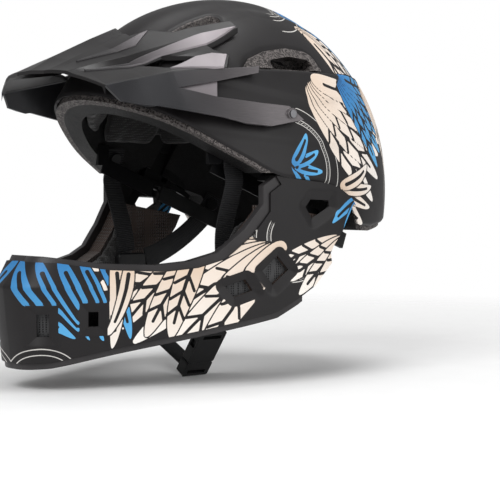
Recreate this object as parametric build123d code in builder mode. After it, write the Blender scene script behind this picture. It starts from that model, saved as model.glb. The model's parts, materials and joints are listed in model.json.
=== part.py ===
from build123d import *
from math import cos, sin, radians, hypot, sqrt
import os

os.makedirs("parts", exist_ok=True)

# Frame of the helmet: origin at the middle of the ear-to-ear axis.
# The face looks towards -Y, the wearer's left is +X, up is +Z.
# A place on the dome has a fan angle about the ear axis: 0 is forward, 90 is up, 180 is back.

# Dome
crown_radius = 176.0
half_width = 105.0
shell_wall = 2.0
wrap_step = 1.2
fit_gap = 0.3
liner_wall = 21.0
fan_angles = [24, 38, 56, 74, 92, 110, 127, 144, 160, 174, 190]
crown_shares = [0.915, 0.935, 0.973, 0.989, 1.002, 1.011, 0.991, 0.951, 0.884, 0.826, 0.765]
arc_reach = 80
overrun = 30.0

# Rim of the shell seen from the side, as fan angles and shares of the crown radius
brow_angles = [36.6, 38.6, 41.0, 44.2, 50.0, 58.9, 73.0, 97.0, 124.0, 145.0, 155.0]
brow_shares = [1.02, 0.852, 0.705, 0.528, 0.388, 0.293, 0.250, 0.229, 0.250, 0.281, 0.292]
nape_angles = [172.7, 175.5, 175.0]
nape_shares = [0.315, 0.423, 1.10]
liner_lip = 3.5
ear_station = 7

# Seam between crown and wrap, and the vents
seam_height = 119.6
eyebrow_arch = [
    (-35.0, 1.0), (-28.0, 7.2), (-12.5, 13.1), (7.6, 16.4), (28.0, 14.6), (34.0, 11.0), (38.4, 1.4),
]
eyebrow_corner = 3.5
eyebrow_lip = 6.5
eyebrow_lip_rise = 0.8
eyebrow_inner = 40.0
slot_length = 70.0
slot_width = 11.0
slot_middle = -66.0
slot_floor = 85.0
slot_places = [40.0]
rear_slot_width = 20.0
rear_slot_height = 34.0
rear_slot_place = 30.0
rear_slot_level = 92.0

# Comfort pads
pad_wall = 7.0
seam_width = 2.4
seam_depth = 3.0
crown_pad_length = 120.0
crown_pad_width = 20.0
crown_pad_pitch = 27.0
brow_pad_half = 48.0
brow_pad_height = 24.0
brow_pad_rise = 2.0
brow_seam_pitch = 19.0
brow_seam_count = 4
side_pad_bottom = 68.0
side_pad_top = 96.0
side_pad_fronts = [-60.0, 2.0]
side_pad_length = 54.0
side_seam_pitch = 18.0
side_seam_count = 2
cheek_seam_pitch = 20.0
cheek_seam_count = 4

# Visor
visor_tuck = 3.0
visor_half = half_width - visor_tuck
visor_set_back = 4.0
visor_reach = crown_radius - visor_set_back
visor_height = crown_radius
visor_wall = 2.4
visor_core = 60.0
inlay_wall = 1.0
pivot_y = -14.0
pivot_z = 86.5
pivot_pin_radius = 2.0
pivot_head_radius = 2.8
pivot_head_height = 0.8
pivot_foot_depth = 5.0

# Chin guard
guard_tuck = 4.0
guard_half = half_width - guard_tuck
guard_set_back = 5.0
guard_reach = crown_radius - guard_set_back
guard_drop = 91.0
guard_bulge = 17.6
guard_wall = 3.0
guard_liner_wall = 13.0
guard_foam_gap = 0.9
guard_pad_wall = 6.0
guard_trim_height = 4.5
guard_trim_step = 0.9
guard_bead_inset = 5.0
mesh_wall = 1.2
mesh_inset = 4.0
slide_lean = 25.0
rim_clearance = 1.0

# Tongues that plug the guard into the helmet
flange_wall = 4.0
flange_depth = 27.0
flange_inner = half_width - flange_depth
tongue_depth = 25.0
tongue_inner = half_width - tongue_depth
tongue_wall = 4.0
tongue_width = 18.0
tongue_length = 40.0
tongue_middle = 2.0
tab_width = 12.0
tab_length = 14.0
tab_pitch = 21.0
tab_feet = [0.0, 9.0]
socket_wall = 2.2
socket_clearance = 0.4
socket_length = 43.0
socket_width = 70.0
button_radius = 6.0
button_height = 3.2
button_clearance = 0.35

# Fit system
ring_tilt = 21.2
ring_middle_y = -6.0
ring_middle_z = 31.0
ring_side_room = 40.5
ring_half = half_width - ring_side_room
ring_corner = 48.0
ring_end_room = 71.0
ring_reach = crown_radius - ring_end_room
ring_wall = 1.6
ring_height = 12.0
ring_break = 4.0
band_front = 56.0
band_tab_length = 10.0
band_tab_depth = 6.0
band_tab_top = 67.0
cradle_half = 34.0
cradle_height = 36.0
cradle_wall = 9.0
cradle_skin = 2.0
rack_height = 5.0
rack_travel = 8.9
rack_share = 1.33
pinion_radius = 3.0
pinion_clearance = 0.3
dial_radius = 15.0
dial_height = 9.0
dial_grips = 18
grip_radius = 1.4
hanger_width = 10.0
hanger_wall = 2.4
hanger_pitch = 50.0
hanger_angles = [160, 166]
hanger_shares = [0.884, 0.858]

# Webbing and buckle
web_width = 16.0
web_wall = 1.5
anchor_radius = 5.0
anchor_height = 1.4
divider_length = 20.0
divider_width = 26.0
divider_height = 6.0
buckle_length = 28.0
buckle_width = 24.0
buckle_height = 8.0
buckle_wall = 1.6
buckle_grip = 12.0
buckle_clearance = 0.35
prong_width = 3.6
prong_head = 6.0
cavity_share = 0.68
slot_gap = 3.2
anchor_taper = 20
buckle_rise = 54.8
keeper_wall = 2.0
keeper_length = 5.0

# Growths of the layers of the dome, from the outer shell surface inwards
wrap_growth = wrap_step
liner_growth = -shell_wall - fit_gap
cavity_growth = liner_growth - liner_wall
pad_growth = cavity_growth - fit_gap
pad_face_growth = pad_growth - pad_wall


def fan_point(angle, radius):
    """Point of the side view, as (y, z), at a fan angle and a distance from the ear axis."""
    return (-radius * cos(radians(angle)), radius * sin(radians(angle)))


def fan_plane(angle):
    """Plane through the ear axis at a fan angle, with local x pointing outward."""
    y, z = fan_point(angle, 1)
    return Plane(origin=(0, 0, 0), x_dir=(0, y, z), z_dir=(0, z, -y))


def dome(growth):
    """Closed dome solid, grown by the given length from the outer shell surface."""
    with BuildPart() as body:
        for angle, share in zip(fan_angles, crown_shares):
            with BuildSketch(fan_plane(angle)):
                with BuildLine():
                    arc = EllipticalCenterArc(
                        (0, 0),
                        crown_radius * share + growth,
                        half_width + growth,
                        start_angle=-arc_reach,
                        arc_size=2 * arc_reach,
                    )
                    Line(arc @ 1, arc @ 0)
                make_face()
        loft()
    return body.part


def side_block(points, near, far):
    """Block with a side-view outline of (y, z) points, between two places across the helmet."""
    with BuildPart() as block:
        with BuildSketch(Plane.YZ.offset(near)):
            with BuildLine():
                Polyline(*points, close=True)
            make_face()
        extrude(amount=far - near)
    return block.part


def rim_points(lower):
    """Brow and ear rim of the shell in the side view, lowered by a length."""
    rim = [fan_point(a, crown_radius * s) for a, s in zip(brow_angles, brow_shares)]
    return [(y, z - lower) for y, z in rim]


def below_rim(lower):
    """Everything below the rim of the shell, with the rim lowered by a length."""
    nape = [fan_point(a, crown_radius * s) for a, s in zip(nape_angles, nape_shares)]
    nape = [(y, z - lower) for y, z in nape]
    floor = -crown_radius
    front = -crown_radius - overrun
    with BuildPart() as block:
        with BuildSketch(Plane.YZ.offset(-half_width - overrun)):
            with BuildLine():
                brow = Spline(*rim_points(lower))
                Polyline(
                    brow @ 1,
                    *nape,
                    (nape[-1][0], floor),
                    (front, floor),
                    (front, (brow @ 0).Y),
                    brow @ 0,
                )
            make_face()
        extrude(amount=2 * (half_width + overrun))
    return block.part


def both_sides(block):
    """A block and its mirror image across the middle of the helmet."""
    with BuildPart() as pair:
        add(block)
        mirror(about=Plane.YZ)
    return pair.part


# The eyebrow vent is an arch over the seam, cut in through the side of the dome
eyebrow_foot = seam_height - eyebrow_lip
eyebrow_points = [(y, seam_height + rise) for y, rise in eyebrow_arch]
eyebrow_points.append((eyebrow_arch[-1][0], eyebrow_foot))
eyebrow_points.append((eyebrow_arch[0][0], eyebrow_foot))


def eyebrow_block(grow, near):
    """Arch-shaped cutter of the eyebrow vent, grown by a length."""
    with BuildPart() as block:
        with BuildSketch(Plane.YZ.offset(near)):
            with BuildLine():
                Polyline(*eyebrow_points, close=True)
            make_face()
            offset(amount=grow - eyebrow_corner, kind=Kind.INTERSECTION)
            offset(amount=eyebrow_corner, kind=Kind.ARC)
        extrude(amount=half_width + overrun - near)
    return both_sides(block.part)


def crown_slots(grow):
    """Long slots over the crown and the two outlets at the back, grown by a length."""
    with BuildPart() as block:
        for side in (-1, 1):
            for place in slot_places:
                with BuildSketch(Plane.XY.offset(slot_floor)):
                    with Locations((side * place, slot_middle)):
                        SlotOverall(slot_length + grow, slot_width + grow, rotation=90)
                extrude(amount=crown_radius)
            with BuildSketch(Plane.XZ.offset(-crown_radius / 2)):
                with Locations((side * rear_slot_place, rear_slot_level)):
                    SlotOverall(rear_slot_height + grow, rear_slot_width + grow, rotation=90)
            extrude(amount=-crown_radius)
    return block.part


outer_dome = dome(0)
shell_inner_dome = dome(-shell_wall)
liner_dome = dome(liner_growth)
cavity_dome = dome(cavity_growth)
rim_cut = below_rim(0)
slot_cut = crown_slots(0)
eyebrow_cut = eyebrow_block(0, eyebrow_inner)

# Crown shell: the thin outer skin above the seam
with BuildPart() as crown_shell:
    add(outer_dome)
    add(shell_inner_dome, mode=Mode.SUBTRACT)
    split(bisect_by=Plane.XY.offset(seam_height + fit_gap), keep=Keep.TOP)
    add(slot_cut, mode=Mode.SUBTRACT)
    add(eyebrow_cut, mode=Mode.SUBTRACT)
crown_shell.part.label = "crown_shell"
export_step(crown_shell.part, "parts/crown_shell.step")

# Lower wrap: a little proud of the crown shell, trimmed to the rim, with holes for the visor pins
wrap_dome = dome(wrap_growth)
pivot_plane = Plane(origin=(0, pivot_y, pivot_z), x_dir=(0, 1, 0), z_dir=(1, 0, 0))
with BuildPart() as wrap_shell:
    add(wrap_dome)
    add(shell_inner_dome, mode=Mode.SUBTRACT)
    split(bisect_by=Plane.XY.offset(seam_height), keep=Keep.BOTTOM)
    add(rim_cut, mode=Mode.SUBTRACT)
    add(slot_cut, mode=Mode.SUBTRACT)
    with BuildSketch(pivot_plane):
        Circle(pivot_pin_radius + fit_gap)
    extrude(amount=half_width, both=True, mode=Mode.SUBTRACT)
wrap_shell.part.label = "wrap_shell"
export_step(wrap_shell.part, "parts/wrap_shell.step")

# Sockets for the guard: one local frame, with z along the slide and x outward
slide_direction = (0, sin(radians(slide_lean)), cos(radians(slide_lean)))
ear_rim = fan_point(brow_angles[ear_station], crown_radius * brow_shares[ear_station])
flange_level = ear_rim[1] - rim_clearance
slide_plane = Plane(
    origin=(tongue_inner + tongue_wall / 2, tongue_middle, flange_level),
    x_dir=(1, 0, 0),
    z_dir=slide_direction,
)
socket_floor = 8.0
socket_half = tongue_wall / 2 + socket_clearance + socket_wall


def mirrored(piece):
    """Mirror image of a piece, for the wearer's right side."""
    with BuildPart() as other:
        add(piece.part)
        mirror(about=Plane.YZ, mode=Mode.REPLACE)
    return other


def save_pair(piece, name):
    """Write a left piece and its mirror image as two nodes."""
    piece.part.label = name + "_left"
    export_step(piece.part, "parts/" + name + "_left.step")
    other = mirrored(piece)
    other.part.label = name + "_right"
    export_step(other.part, "parts/" + name + "_right.step")
    return other


with BuildPart() as guard_socket:
    with BuildSketch(slide_plane.offset(socket_floor)):
        Rectangle(2 * socket_half, socket_width)
    extrude(amount=socket_length - socket_floor)
    fillet(guard_socket.edges().filter_by(Axis.X), radius=socket_wall)
    with BuildSketch(slide_plane.offset(socket_floor - socket_wall)):
        Rectangle(tongue_wall + 2 * socket_clearance, tongue_width + 2 * socket_clearance)
    extrude(amount=tongue_length - socket_floor + 2 * socket_wall, mode=Mode.SUBTRACT)
    with BuildSketch(slide_plane.offset(socket_floor - socket_wall)):
        with Locations((0, -tab_pitch), (0, tab_pitch)):
            Rectangle(tongue_wall + 2 * socket_clearance, tab_width + 2 * socket_clearance)
    extrude(amount=tab_length - socket_floor + 2 * socket_wall, mode=Mode.SUBTRACT)
    # the button runs in a channel that is open below and towards the head
    with BuildSketch(slide_plane.offset(socket_floor - socket_wall)):
        with Locations((-tongue_wall, 0)):
            Rectangle(2 * tongue_wall, 2 * (button_radius + socket_clearance))
    extrude(amount=tongue_length - socket_floor + 2 * socket_wall, mode=Mode.SUBTRACT)

# Foam liner: thick, open below, with pockets for the guard sockets
ear_front = -46.0
ear_rear = 50.0
ear_top_front = 45.0
ear_top_rear = 27.0
ear_depth = 31.0
ear_inner = half_width - ear_depth
pocket_depth = 2 * half_width

ear_points = [
    (ear_front, -ear_top_front),
    (ear_front, ear_top_front),
    (0, ear_top_front),
    (ear_rear, ear_top_rear),
    (ear_rear + ear_top_rear / 2, 0),
    (ear_rear + ear_top_rear / 2, -ear_top_front),
]
ear_recess = both_sides(side_block(ear_points, ear_inner, pocket_depth))
liner_rim_cut = below_rim(liner_lip)
pocket_plane = slide_plane.offset(-socket_floor)

with BuildPart() as pockets:
    with BuildSketch(pocket_plane):
        Rectangle(2 * (socket_half + fit_gap), socket_width + 2 * fit_gap)
    extrude(amount=socket_length + socket_floor + fit_gap)
    with BuildSketch(pocket_plane):
        with Locations((-socket_half - tongue_width, 0)):
            Rectangle(2 * tongue_width, 2 * (button_radius + socket_clearance))
    extrude(amount=tongue_length + 2 * socket_floor)
    mirror(about=Plane.YZ)

# Raised foam rims that fill the eyebrow openings of the crown shell round smaller holes
rim_dome = dome(eyebrow_lip_rise)
eyebrow_rim_block = eyebrow_block(-fit_gap, eyebrow_inner)
eyebrow_hole = eyebrow_block(-eyebrow_lip, eyebrow_inner)
with BuildPart() as eyebrow_rims:
    add(rim_dome)
    add(cavity_dome, mode=Mode.SUBTRACT)
    add(eyebrow_rim_block, mode=Mode.INTERSECT)
    split(bisect_by=Plane.XY.offset(seam_height + fit_gap), keep=Keep.TOP)

with BuildPart() as foam_liner:
    add(liner_dome)
    add(cavity_dome, mode=Mode.SUBTRACT)
    add(liner_rim_cut, mode=Mode.SUBTRACT)
    add(eyebrow_rims.part)
    add(slot_cut, mode=Mode.SUBTRACT)
    add(eyebrow_hole, mode=Mode.SUBTRACT)
    add(ear_recess, mode=Mode.SUBTRACT)
    add(pockets.part, mode=Mode.SUBTRACT)
foam_liner.part.label = "foam_liner"
export_step(foam_liner.part, "parts/foam_liner.step")

save_pair(guard_socket, "guard_socket")


# Comfort pads: cushions that lie on the foam
pad_dome = dome(pad_growth)
pad_face_dome = dome(pad_face_growth)
seam_dome = dome(pad_face_growth + seam_depth)
brow_pad_floor = below_rim(-brow_pad_rise)
brow_pad_roof = below_rim(-brow_pad_rise - brow_pad_height)
side_pad_middle = (side_pad_bottom + side_pad_top) / 2

# Stitched channels: strips of the cushion face that are drawn in
with BuildPart() as brow_seams:
    add(seam_dome)
    with BuildSketch(Plane.XY):
        with Locations((0, -crown_radius)):
            with GridLocations(brow_seam_pitch, 0, brow_seam_count, 1):
                Rectangle(seam_width, 2 * crown_radius)
    extrude(amount=crown_radius, mode=Mode.INTERSECT)

with BuildPart() as side_seams:
    add(seam_dome)
    with BuildSketch(Plane.YZ):
        for front in side_pad_fronts:
            with Locations((front + side_pad_length / 2, side_pad_middle)):
                with GridLocations(side_seam_pitch, 0, side_seam_count, 1):
                    Rectangle(seam_width, crown_radius)
    extrude(amount=half_width, mode=Mode.INTERSECT)

with BuildPart() as crown_pads:
    add(pad_dome)
    add(pad_face_dome, mode=Mode.SUBTRACT)
    with BuildSketch(Plane.XY.offset(seam_height)):
        with GridLocations(crown_pad_pitch, 0, 3, 1):
            SlotOverall(crown_pad_length, crown_pad_width, rotation=90)
    extrude(amount=crown_radius, mode=Mode.INTERSECT)
crown_pads.part.label = "crown_pads"
export_step(crown_pads.part, "parts/crown_pads.step")

with BuildPart() as brow_pad:
    add(pad_dome)
    add(pad_face_dome, mode=Mode.SUBTRACT)
    add(brow_pad_floor, mode=Mode.SUBTRACT)
    add(brow_pad_roof, mode=Mode.INTERSECT)
    with BuildSketch(Plane.XY):
        with Locations((0, -crown_radius)):
            Rectangle(2 * brow_pad_half, 2 * crown_radius)
    extrude(amount=crown_radius, mode=Mode.INTERSECT)
    add(brow_seams.part, mode=Mode.SUBTRACT)
brow_pad.part.label = "brow_pad"
export_step(brow_pad.part, "parts/brow_pad.step")

with BuildPart() as side_pads:
    add(pad_dome)
    add(pad_face_dome, mode=Mode.SUBTRACT)
    with BuildSketch(Plane.YZ):
        for front in side_pad_fronts:
            with Locations((front + side_pad_length / 2, side_pad_middle)):
                RectangleRounded(side_pad_length, side_pad_top - side_pad_bottom, pad_wall)
    extrude(amount=half_width, mode=Mode.INTERSECT)
    add(side_seams.part, mode=Mode.SUBTRACT)
save_pair(side_pads, "side_pads")

# Visor: a folded sheet. Stations are shares of the reach, folds are shares of half width and height
visor_stations = [1.000, 0.872, 0.686, 0.552, 0.349, 0.163, -0.012]
visor_fold_shares = [
    [
        (0.0, 0.645), (0.196, 0.642), (0.255, 0.639), (0.333, 0.634),
        (0.392, 0.625), (0.569, 0.597), (0.647, 0.540),
    ],
    [
        (0.0, 0.716), (0.186, 0.696), (0.235, 0.685), (0.353, 0.665),
        (0.392, 0.648), (0.613, 0.588), (0.657, 0.523),
    ],
    [
        (0.0, 0.795), (0.127, 0.767), (0.255, 0.744), (0.412, 0.713),
        (0.441, 0.670), (0.623, 0.625), (0.755, 0.509),
    ],
    [
        (0.0, 0.847), (0.083, 0.821), (0.275, 0.810), (0.451, 0.753),
        (0.510, 0.699), (0.632, 0.652), (0.833, 0.477),
    ],
    [
        (0.0, 0.932), (0.078, 0.920), (0.333, 0.881), (0.520, 0.812),
        (0.608, 0.753), (0.716, 0.673), (0.922, 0.452),
    ],
    [
        (0.0, 1.000), (0.078, 0.994), (0.392, 0.932), (0.574, 0.849),
        (0.667, 0.756), (0.809, 0.685), (0.980, 0.438),
    ],
    [
        (0.0, 1.034), (0.078, 1.028), (0.412, 0.966), (0.598, 0.886),
        (0.696, 0.795), (0.868, 0.665), (1.000, 0.455),
    ],
]
blade_plan_shares = [
    (0.157, 0.980), (0.392, 0.942), (0.613, 0.878), (0.902, 0.581), (0.760, 0.331), (0.676, 0.273),
    (0.618, 0.331), (0.588, 0.349), (0.569, 0.169), (0.500, 0.174), (0.392, 0.436), (0.284, 0.500),
    (0.196, 0.570), (0.118, 0.552),
]
window_plan_shares = [(0.441, 0.680), (0.490, 0.541), (0.598, 0.424), (0.598, 0.552)]
stripe_plan_shares = [
    [(0.245, 0.860), (0.284, 0.512), (0.353, 0.605)],
    [(0.392, 0.884), (0.565, 0.180), (0.588, 0.349), (0.500, 0.541), (0.462, 0.680)],
    [(0.608, 0.552), (0.612, 0.419), (0.676, 0.285), (0.735, 0.331)],
]
arm_side_shares = [
    (0.878, 0.588), (0.826, 0.526), (0.715, 0.506), (0.680, 0.511), (0.413, 0.472), (0.244, 0.432),
    (0.023, 0.469), (0.081, 0.524), (0.209, 0.533), (0.398, 0.553), (0.552, 0.587), (0.372, 0.618),
    (0.186, 0.656), (0.174, 0.683), (0.547, 0.652),
]
fork_side_shares = [(0.552, 0.587), (0.398, 0.553), (0.372, 0.618)]
blade_floor_shares = [
    (0.878, 0.588), (0.547, 0.652), (0.174, 0.683), (-0.3, 0.683), (-0.3, 0.2), (0.878, 0.2),
]
pivot_boss_radius = 4.2
pivot_boss_depth = 9.8
pivot_boss_wall = 4.2
pivot_boss_inner = half_width - pivot_boss_depth
pivot_boss_outer = pivot_boss_inner + pivot_boss_wall


def visor_sheet(top, bottom):
    """Folded visor sheet between two growths from its upper face."""
    with BuildPart() as sheet:
        for station, folds in zip(visor_stations, visor_fold_shares):
            upper = []
            lower = []
            for x_share, z_share in folds:
                x = visor_half * x_share
                z = visor_height * z_share
                reach = hypot(x, z - visor_core)
                upper.append((x + top * x / reach, z + top * (z - visor_core) / reach))
                lower.append((x + bottom * x / reach, z + bottom * (z - visor_core) / reach))
            section = [(-x, z) for x, z in reversed(upper[1:])] + upper
            section += list(reversed(lower)) + [(-x, z) for x, z in lower[1:]]
            place = Plane(origin=(0, -visor_reach * station, 0), x_dir=(1, 0, 0), z_dir=(0, -1, 0))
            with BuildSketch(place):
                with BuildLine():
                    Polyline(*section, close=True)
                make_face()
        loft(ruled=True)
    return sheet.part


def plan_block(shares):
    """Upright block with a plan outline, on both sides of the helmet."""
    points = [(visor_half * x, -visor_reach * y) for x, y in shares]
    with BuildPart() as block:
        with BuildSketch(Plane.XY):
            with BuildLine():
                Polyline(*points, close=True)
            make_face()
        extrude(amount=2 * visor_height)
        mirror(about=Plane.YZ)
    return block.part


def visor_side_block(shares):
    """Block across the helmet with an outline seen from the side."""
    points = [(-visor_reach * y, visor_height * z) for y, z in shares]
    return side_block(points, -visor_half - overrun, visor_half + overrun)


visor_skin = visor_sheet(0, -visor_wall)
inlay_skin = visor_sheet(inlay_wall, 0)
fork_skin = visor_sheet(-visor_wall / 2, -visor_wall)
arm_block = visor_side_block(arm_side_shares)
fork_block = visor_side_block(fork_side_shares)
blade_floor = visor_side_block(blade_floor_shares)
window_block = plan_block(window_plan_shares)
stripe_blocks = [plan_block(shares) for shares in stripe_plan_shares]
blade_half = [(visor_half * x, -visor_reach * y) for x, y in blade_plan_shares]
blade_outline = [(-x, y) for x, y in blade_half] + list(reversed(blade_half))

with BuildPart() as visor_blade:
    add(visor_skin)
    with BuildSketch(Plane.XY):
        with BuildLine():
            Polyline(*blade_outline, close=True)
        make_face()
    extrude(amount=2 * visor_height, mode=Mode.INTERSECT)
    add(blade_floor, mode=Mode.SUBTRACT)
    add(window_block, mode=Mode.SUBTRACT)
visor_blade.part.label = "visor_blade"
export_step(visor_blade.part, "parts/visor_blade.step")

with BuildPart() as visor_arm:
    add(visor_skin)
    add(arm_block, mode=Mode.INTERSECT)
    split(bisect_by=Plane.YZ, keep=Keep.TOP)
    with BuildSketch(pivot_plane.offset(pivot_boss_inner)):
        Circle(pivot_boss_radius)
    extrude(amount=pivot_boss_outer - pivot_boss_inner)
    with BuildSketch(pivot_plane):
        Circle(pivot_pin_radius + fit_gap)
    extrude(amount=visor_half, mode=Mode.SUBTRACT)
save_pair(visor_arm, "visor_arm")

with BuildPart() as stripes:
    for block in stripe_blocks:
        add(block)

with BuildPart() as visor_inlays:
    add(inlay_skin)
    add(stripes.part, mode=Mode.INTERSECT)
    add(blade_floor, mode=Mode.SUBTRACT)
visor_inlays.part.label = "visor_inlays"
export_step(visor_inlays.part, "parts/visor_inlays.step")

with BuildPart() as fork_plates:
    add(fork_skin)
    add(fork_block, mode=Mode.INTERSECT)
fork_plates.part.label = "fork_plates"
export_step(fork_plates.part, "parts/fork_plates.step")

# Pins that the visor tilts on: they stand in the wrap shell and foam
with BuildPart() as pivot_pin:
    with BuildSketch(pivot_plane.offset(pivot_boss_inner - pivot_foot_depth)):
        Circle(pivot_pin_radius)
    extrude(amount=pivot_boss_outer + fit_gap - pivot_boss_inner + pivot_foot_depth)
    with BuildSketch(pivot_plane.offset(pivot_boss_outer + fit_gap)):
        Circle(pivot_head_radius)
    extrude(amount=pivot_head_height)
save_pair(pivot_pin, "visor_pin")

# Chin guard: stations round the jaw, as shares of half width and reach, with their outward angles
guard_plan_shares = [
    (0.0, 1.0), (0.198, 0.988), (0.386, 0.801), (0.574, 0.608), (0.733, 0.450),
    (0.851, 0.304), (0.931, 0.164), (0.980, 0.0), (1.0, -0.164), (0.990, -0.374),
]
guard_angles = [0, 38, 59, 60, 62, 68, 76, 85, 90, 92]
guard_level_shares = [0.53, -0.13, -0.363, -0.68, -1.08]
guard_bulge_shares = [
    (0.0, 0.0, 1.0, 0.80, 0.50), (0.0, 0.0, 0.51, 0.40, 0.17), (0.0, 0.0, 0.28, 0.22, 0.05),
    (0.0, 0.0, 0.17, 0.14, 0.0), (0.0, 0.0, 0.14, 0.11, 0.0), (0.0, 0.0, 0.11, 0.08, -0.03),
    (0.0, 0.0, 0.06, 0.03, -0.06), (0.0, 0.0, 0.03, 0.0, -0.11), (0.0, 0.0, 0.02, -0.02, -0.14),
    (0.0, 0.0, 0.02, -0.02, -0.14),
]
guard_top_shares = [
    (1.17, -0.132), (1.0, -0.132), (0.807, -0.187), (0.614, -0.201), (0.497, -0.174),
    (0.389, -0.108), (0.287, 0.066), (0.211, 0.253), (0.211, 0.396), (0.162, 0.460),
]
guard_bottom_shares = [
    (1.17, -1.0), (0.988, -0.962), (0.690, -0.841), (0.374, -0.709), (0.152, -0.622),
    (0.056, -0.530), (-0.030, -0.434), (-0.122, -0.260), (-0.116, -0.181), (-0.135, -0.120),
    (-0.179, -0.027), (-0.253, 0.209),
]
side_vent_shares = [
    [(0.378, -0.366), (0.286, -0.308), (0.251, -0.409), (0.336, -0.466)],
    [(0.222, -0.257), (0.143, -0.130), (0.085, -0.256), (0.172, -0.382)],
]
ear_vent_shares = [(0.012, 0.231), (-0.018, 0.299), (-0.122, 0.290), (-0.127, 0.227), (-0.025, 0.127)]
front_vents = [((0.198, 1.0), 41, -0.64, 11.5, 18.0), ((0.366, 0.835), 59, -0.60, 11.0, 12.5)]
rim_start = 5
cheek_floor_share = -0.76
trim_rear_share = 0.03


def guard_plane(station):
    """Upright plane across the guard at a station, with local x pointing outward."""
    x_share, y_share = guard_plan_shares[station]
    turn = radians(guard_angles[station])
    return Plane(
        origin=(guard_half * x_share, -guard_reach * y_share, 0),
        x_dir=(sin(turn), -cos(turn), 0),
        z_dir=(-cos(turn), -sin(turn), 0),
    )


def guard_layer(outer, inner):
    """Left half of the guard band between two growths from its outer surface."""
    with BuildPart() as half:
        for station, bulges in enumerate(guard_bulge_shares):
            levels = [guard_drop * share for share in guard_level_shares]
            face = [(guard_bulge * b + outer, z) for b, z in zip(bulges, levels)]
            back = [(guard_bulge * b + inner, z) for b, z in zip(bulges, levels)]
            with BuildSketch(guard_plane(station)):
                with BuildLine():
                    Polyline(*face, *reversed(back), close=True)
                make_face()
        loft()
        split(bisect_by=Plane.YZ, keep=Keep.TOP)
    return half.part


def slid(point, length):
    """Side-view point moved down along the slide of the guard."""
    y, z = point
    return (y - length * sin(radians(slide_lean)), z - length * cos(radians(slide_lean)))


def guard_outline(inset, lift):
    """Side-view block of the guard, its open top edge set in and its lower edge lifted."""
    top = [(-guard_reach * y, guard_drop * z) for y, z in guard_top_shares]
    top = [(y + inset, z - inset) for y, z in top]
    rim = [slid(point, rim_clearance) for point in rim_points(0)[rim_start:]]
    bottom = [(-guard_reach * y, guard_drop * z + lift) for y, z in guard_bottom_shares]
    with BuildPart() as block:
        with BuildSketch(Plane.YZ):
            with BuildLine():
                Polyline(*top, rim[0])
                Spline(*rim)
                Polyline(rim[-1], *reversed(bottom), top[0])
            make_face()
        extrude(amount=half_width + overrun)
    return block.part


def guard_side_block(shares, grow):
    """Block through the left wall of the guard with a side-view outline, grown by a length."""
    with BuildPart() as block:
        with BuildSketch(Plane.YZ.offset(ring_half)):
            with BuildLine():
                Polyline(*[(-guard_reach * y, guard_drop * z) for y, z in shares], close=True)
            make_face()
            offset(amount=grow, kind=Kind.INTERSECTION)
        extrude(amount=half_width)
    return block.part


def front_vent_block(vent, grow):
    """Block through the front of the guard, square to its wall, grown by a length."""
    (x_share, y_share), angle, level, width, height = vent
    turn = radians(angle)
    plane = Plane(
        origin=(guard_half * x_share, -guard_reach * y_share, guard_drop * level),
        x_dir=(cos(turn), sin(turn), 0),
        z_dir=(sin(turn), -cos(turn), 0),
    )
    with BuildPart() as block:
        with BuildSketch(plane):
            Rectangle(width + 2 * grow, height + 2 * grow)
        extrude(amount=overrun, both=True)
    return block.part


def guard_vents(grow):
    """All vent cutters of the left half of the guard, grown by a length."""
    blocks = [guard_side_block(shares, grow) for shares in side_vent_shares]
    blocks += [front_vent_block(vent, grow) for vent in front_vents]
    return blocks


guard_skin = guard_layer(0, -guard_wall)
guard_body = guard_outline(guard_bead_inset, guard_trim_height)
guard_edge = guard_outline(0, 0)
vent_cuts = guard_vents(0)
ear_vent = guard_side_block(ear_vent_shares, 0)
foam_outer = -guard_wall - guard_foam_gap
foam_inner = foam_outer - guard_liner_wall
pad_outer = foam_inner - guard_foam_gap
guard_pad_face = pad_outer - guard_pad_wall

# Guard shell: the painted band round the jaw, with its vents
with BuildPart() as guard_shell:
    add(guard_skin)
    add(guard_body, mode=Mode.INTERSECT)
    for block in vent_cuts:
        add(block, mode=Mode.SUBTRACT)
    add(ear_vent, mode=Mode.SUBTRACT)
    mirror(about=Plane.YZ)
guard_shell.part.label = "guard_shell"
export_step(guard_shell.part, "parts/guard_shell.step")

# Bead along the open top edge, and trim along the lower edge
guard_edge_skin = guard_layer(guard_trim_step, -guard_wall - guard_trim_step)
bead_body = guard_outline(guard_bead_inset, 0)
trim_body = guard_outline(0, guard_trim_height)

with BuildPart() as guard_bead:
    add(guard_edge_skin)
    add(guard_edge, mode=Mode.INTERSECT)
    add(bead_body, mode=Mode.SUBTRACT)
    mirror(about=Plane.YZ)
guard_bead.part.label = "guard_bead"
export_step(guard_bead.part, "parts/guard_bead.step")

trim_rear = -guard_reach * trim_rear_share
trim_limit_points = [
    (-guard_reach - overrun, -guard_drop - overrun),
    (-guard_reach - overrun, guard_drop * guard_level_shares[2]),
    (trim_rear, guard_drop * guard_level_shares[2]),
    (trim_rear, -guard_drop - overrun),
]
trim_limit = side_block(trim_limit_points, 0, half_width + overrun)

with BuildPart() as guard_trim:
    add(guard_edge_skin)
    add(guard_edge, mode=Mode.INTERSECT)
    add(trim_body, mode=Mode.SUBTRACT)
    add(trim_limit, mode=Mode.INTERSECT)
    mirror(about=Plane.YZ)
guard_trim.part.label = "guard_trim"
export_step(guard_trim.part, "parts/guard_trim.step")

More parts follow.
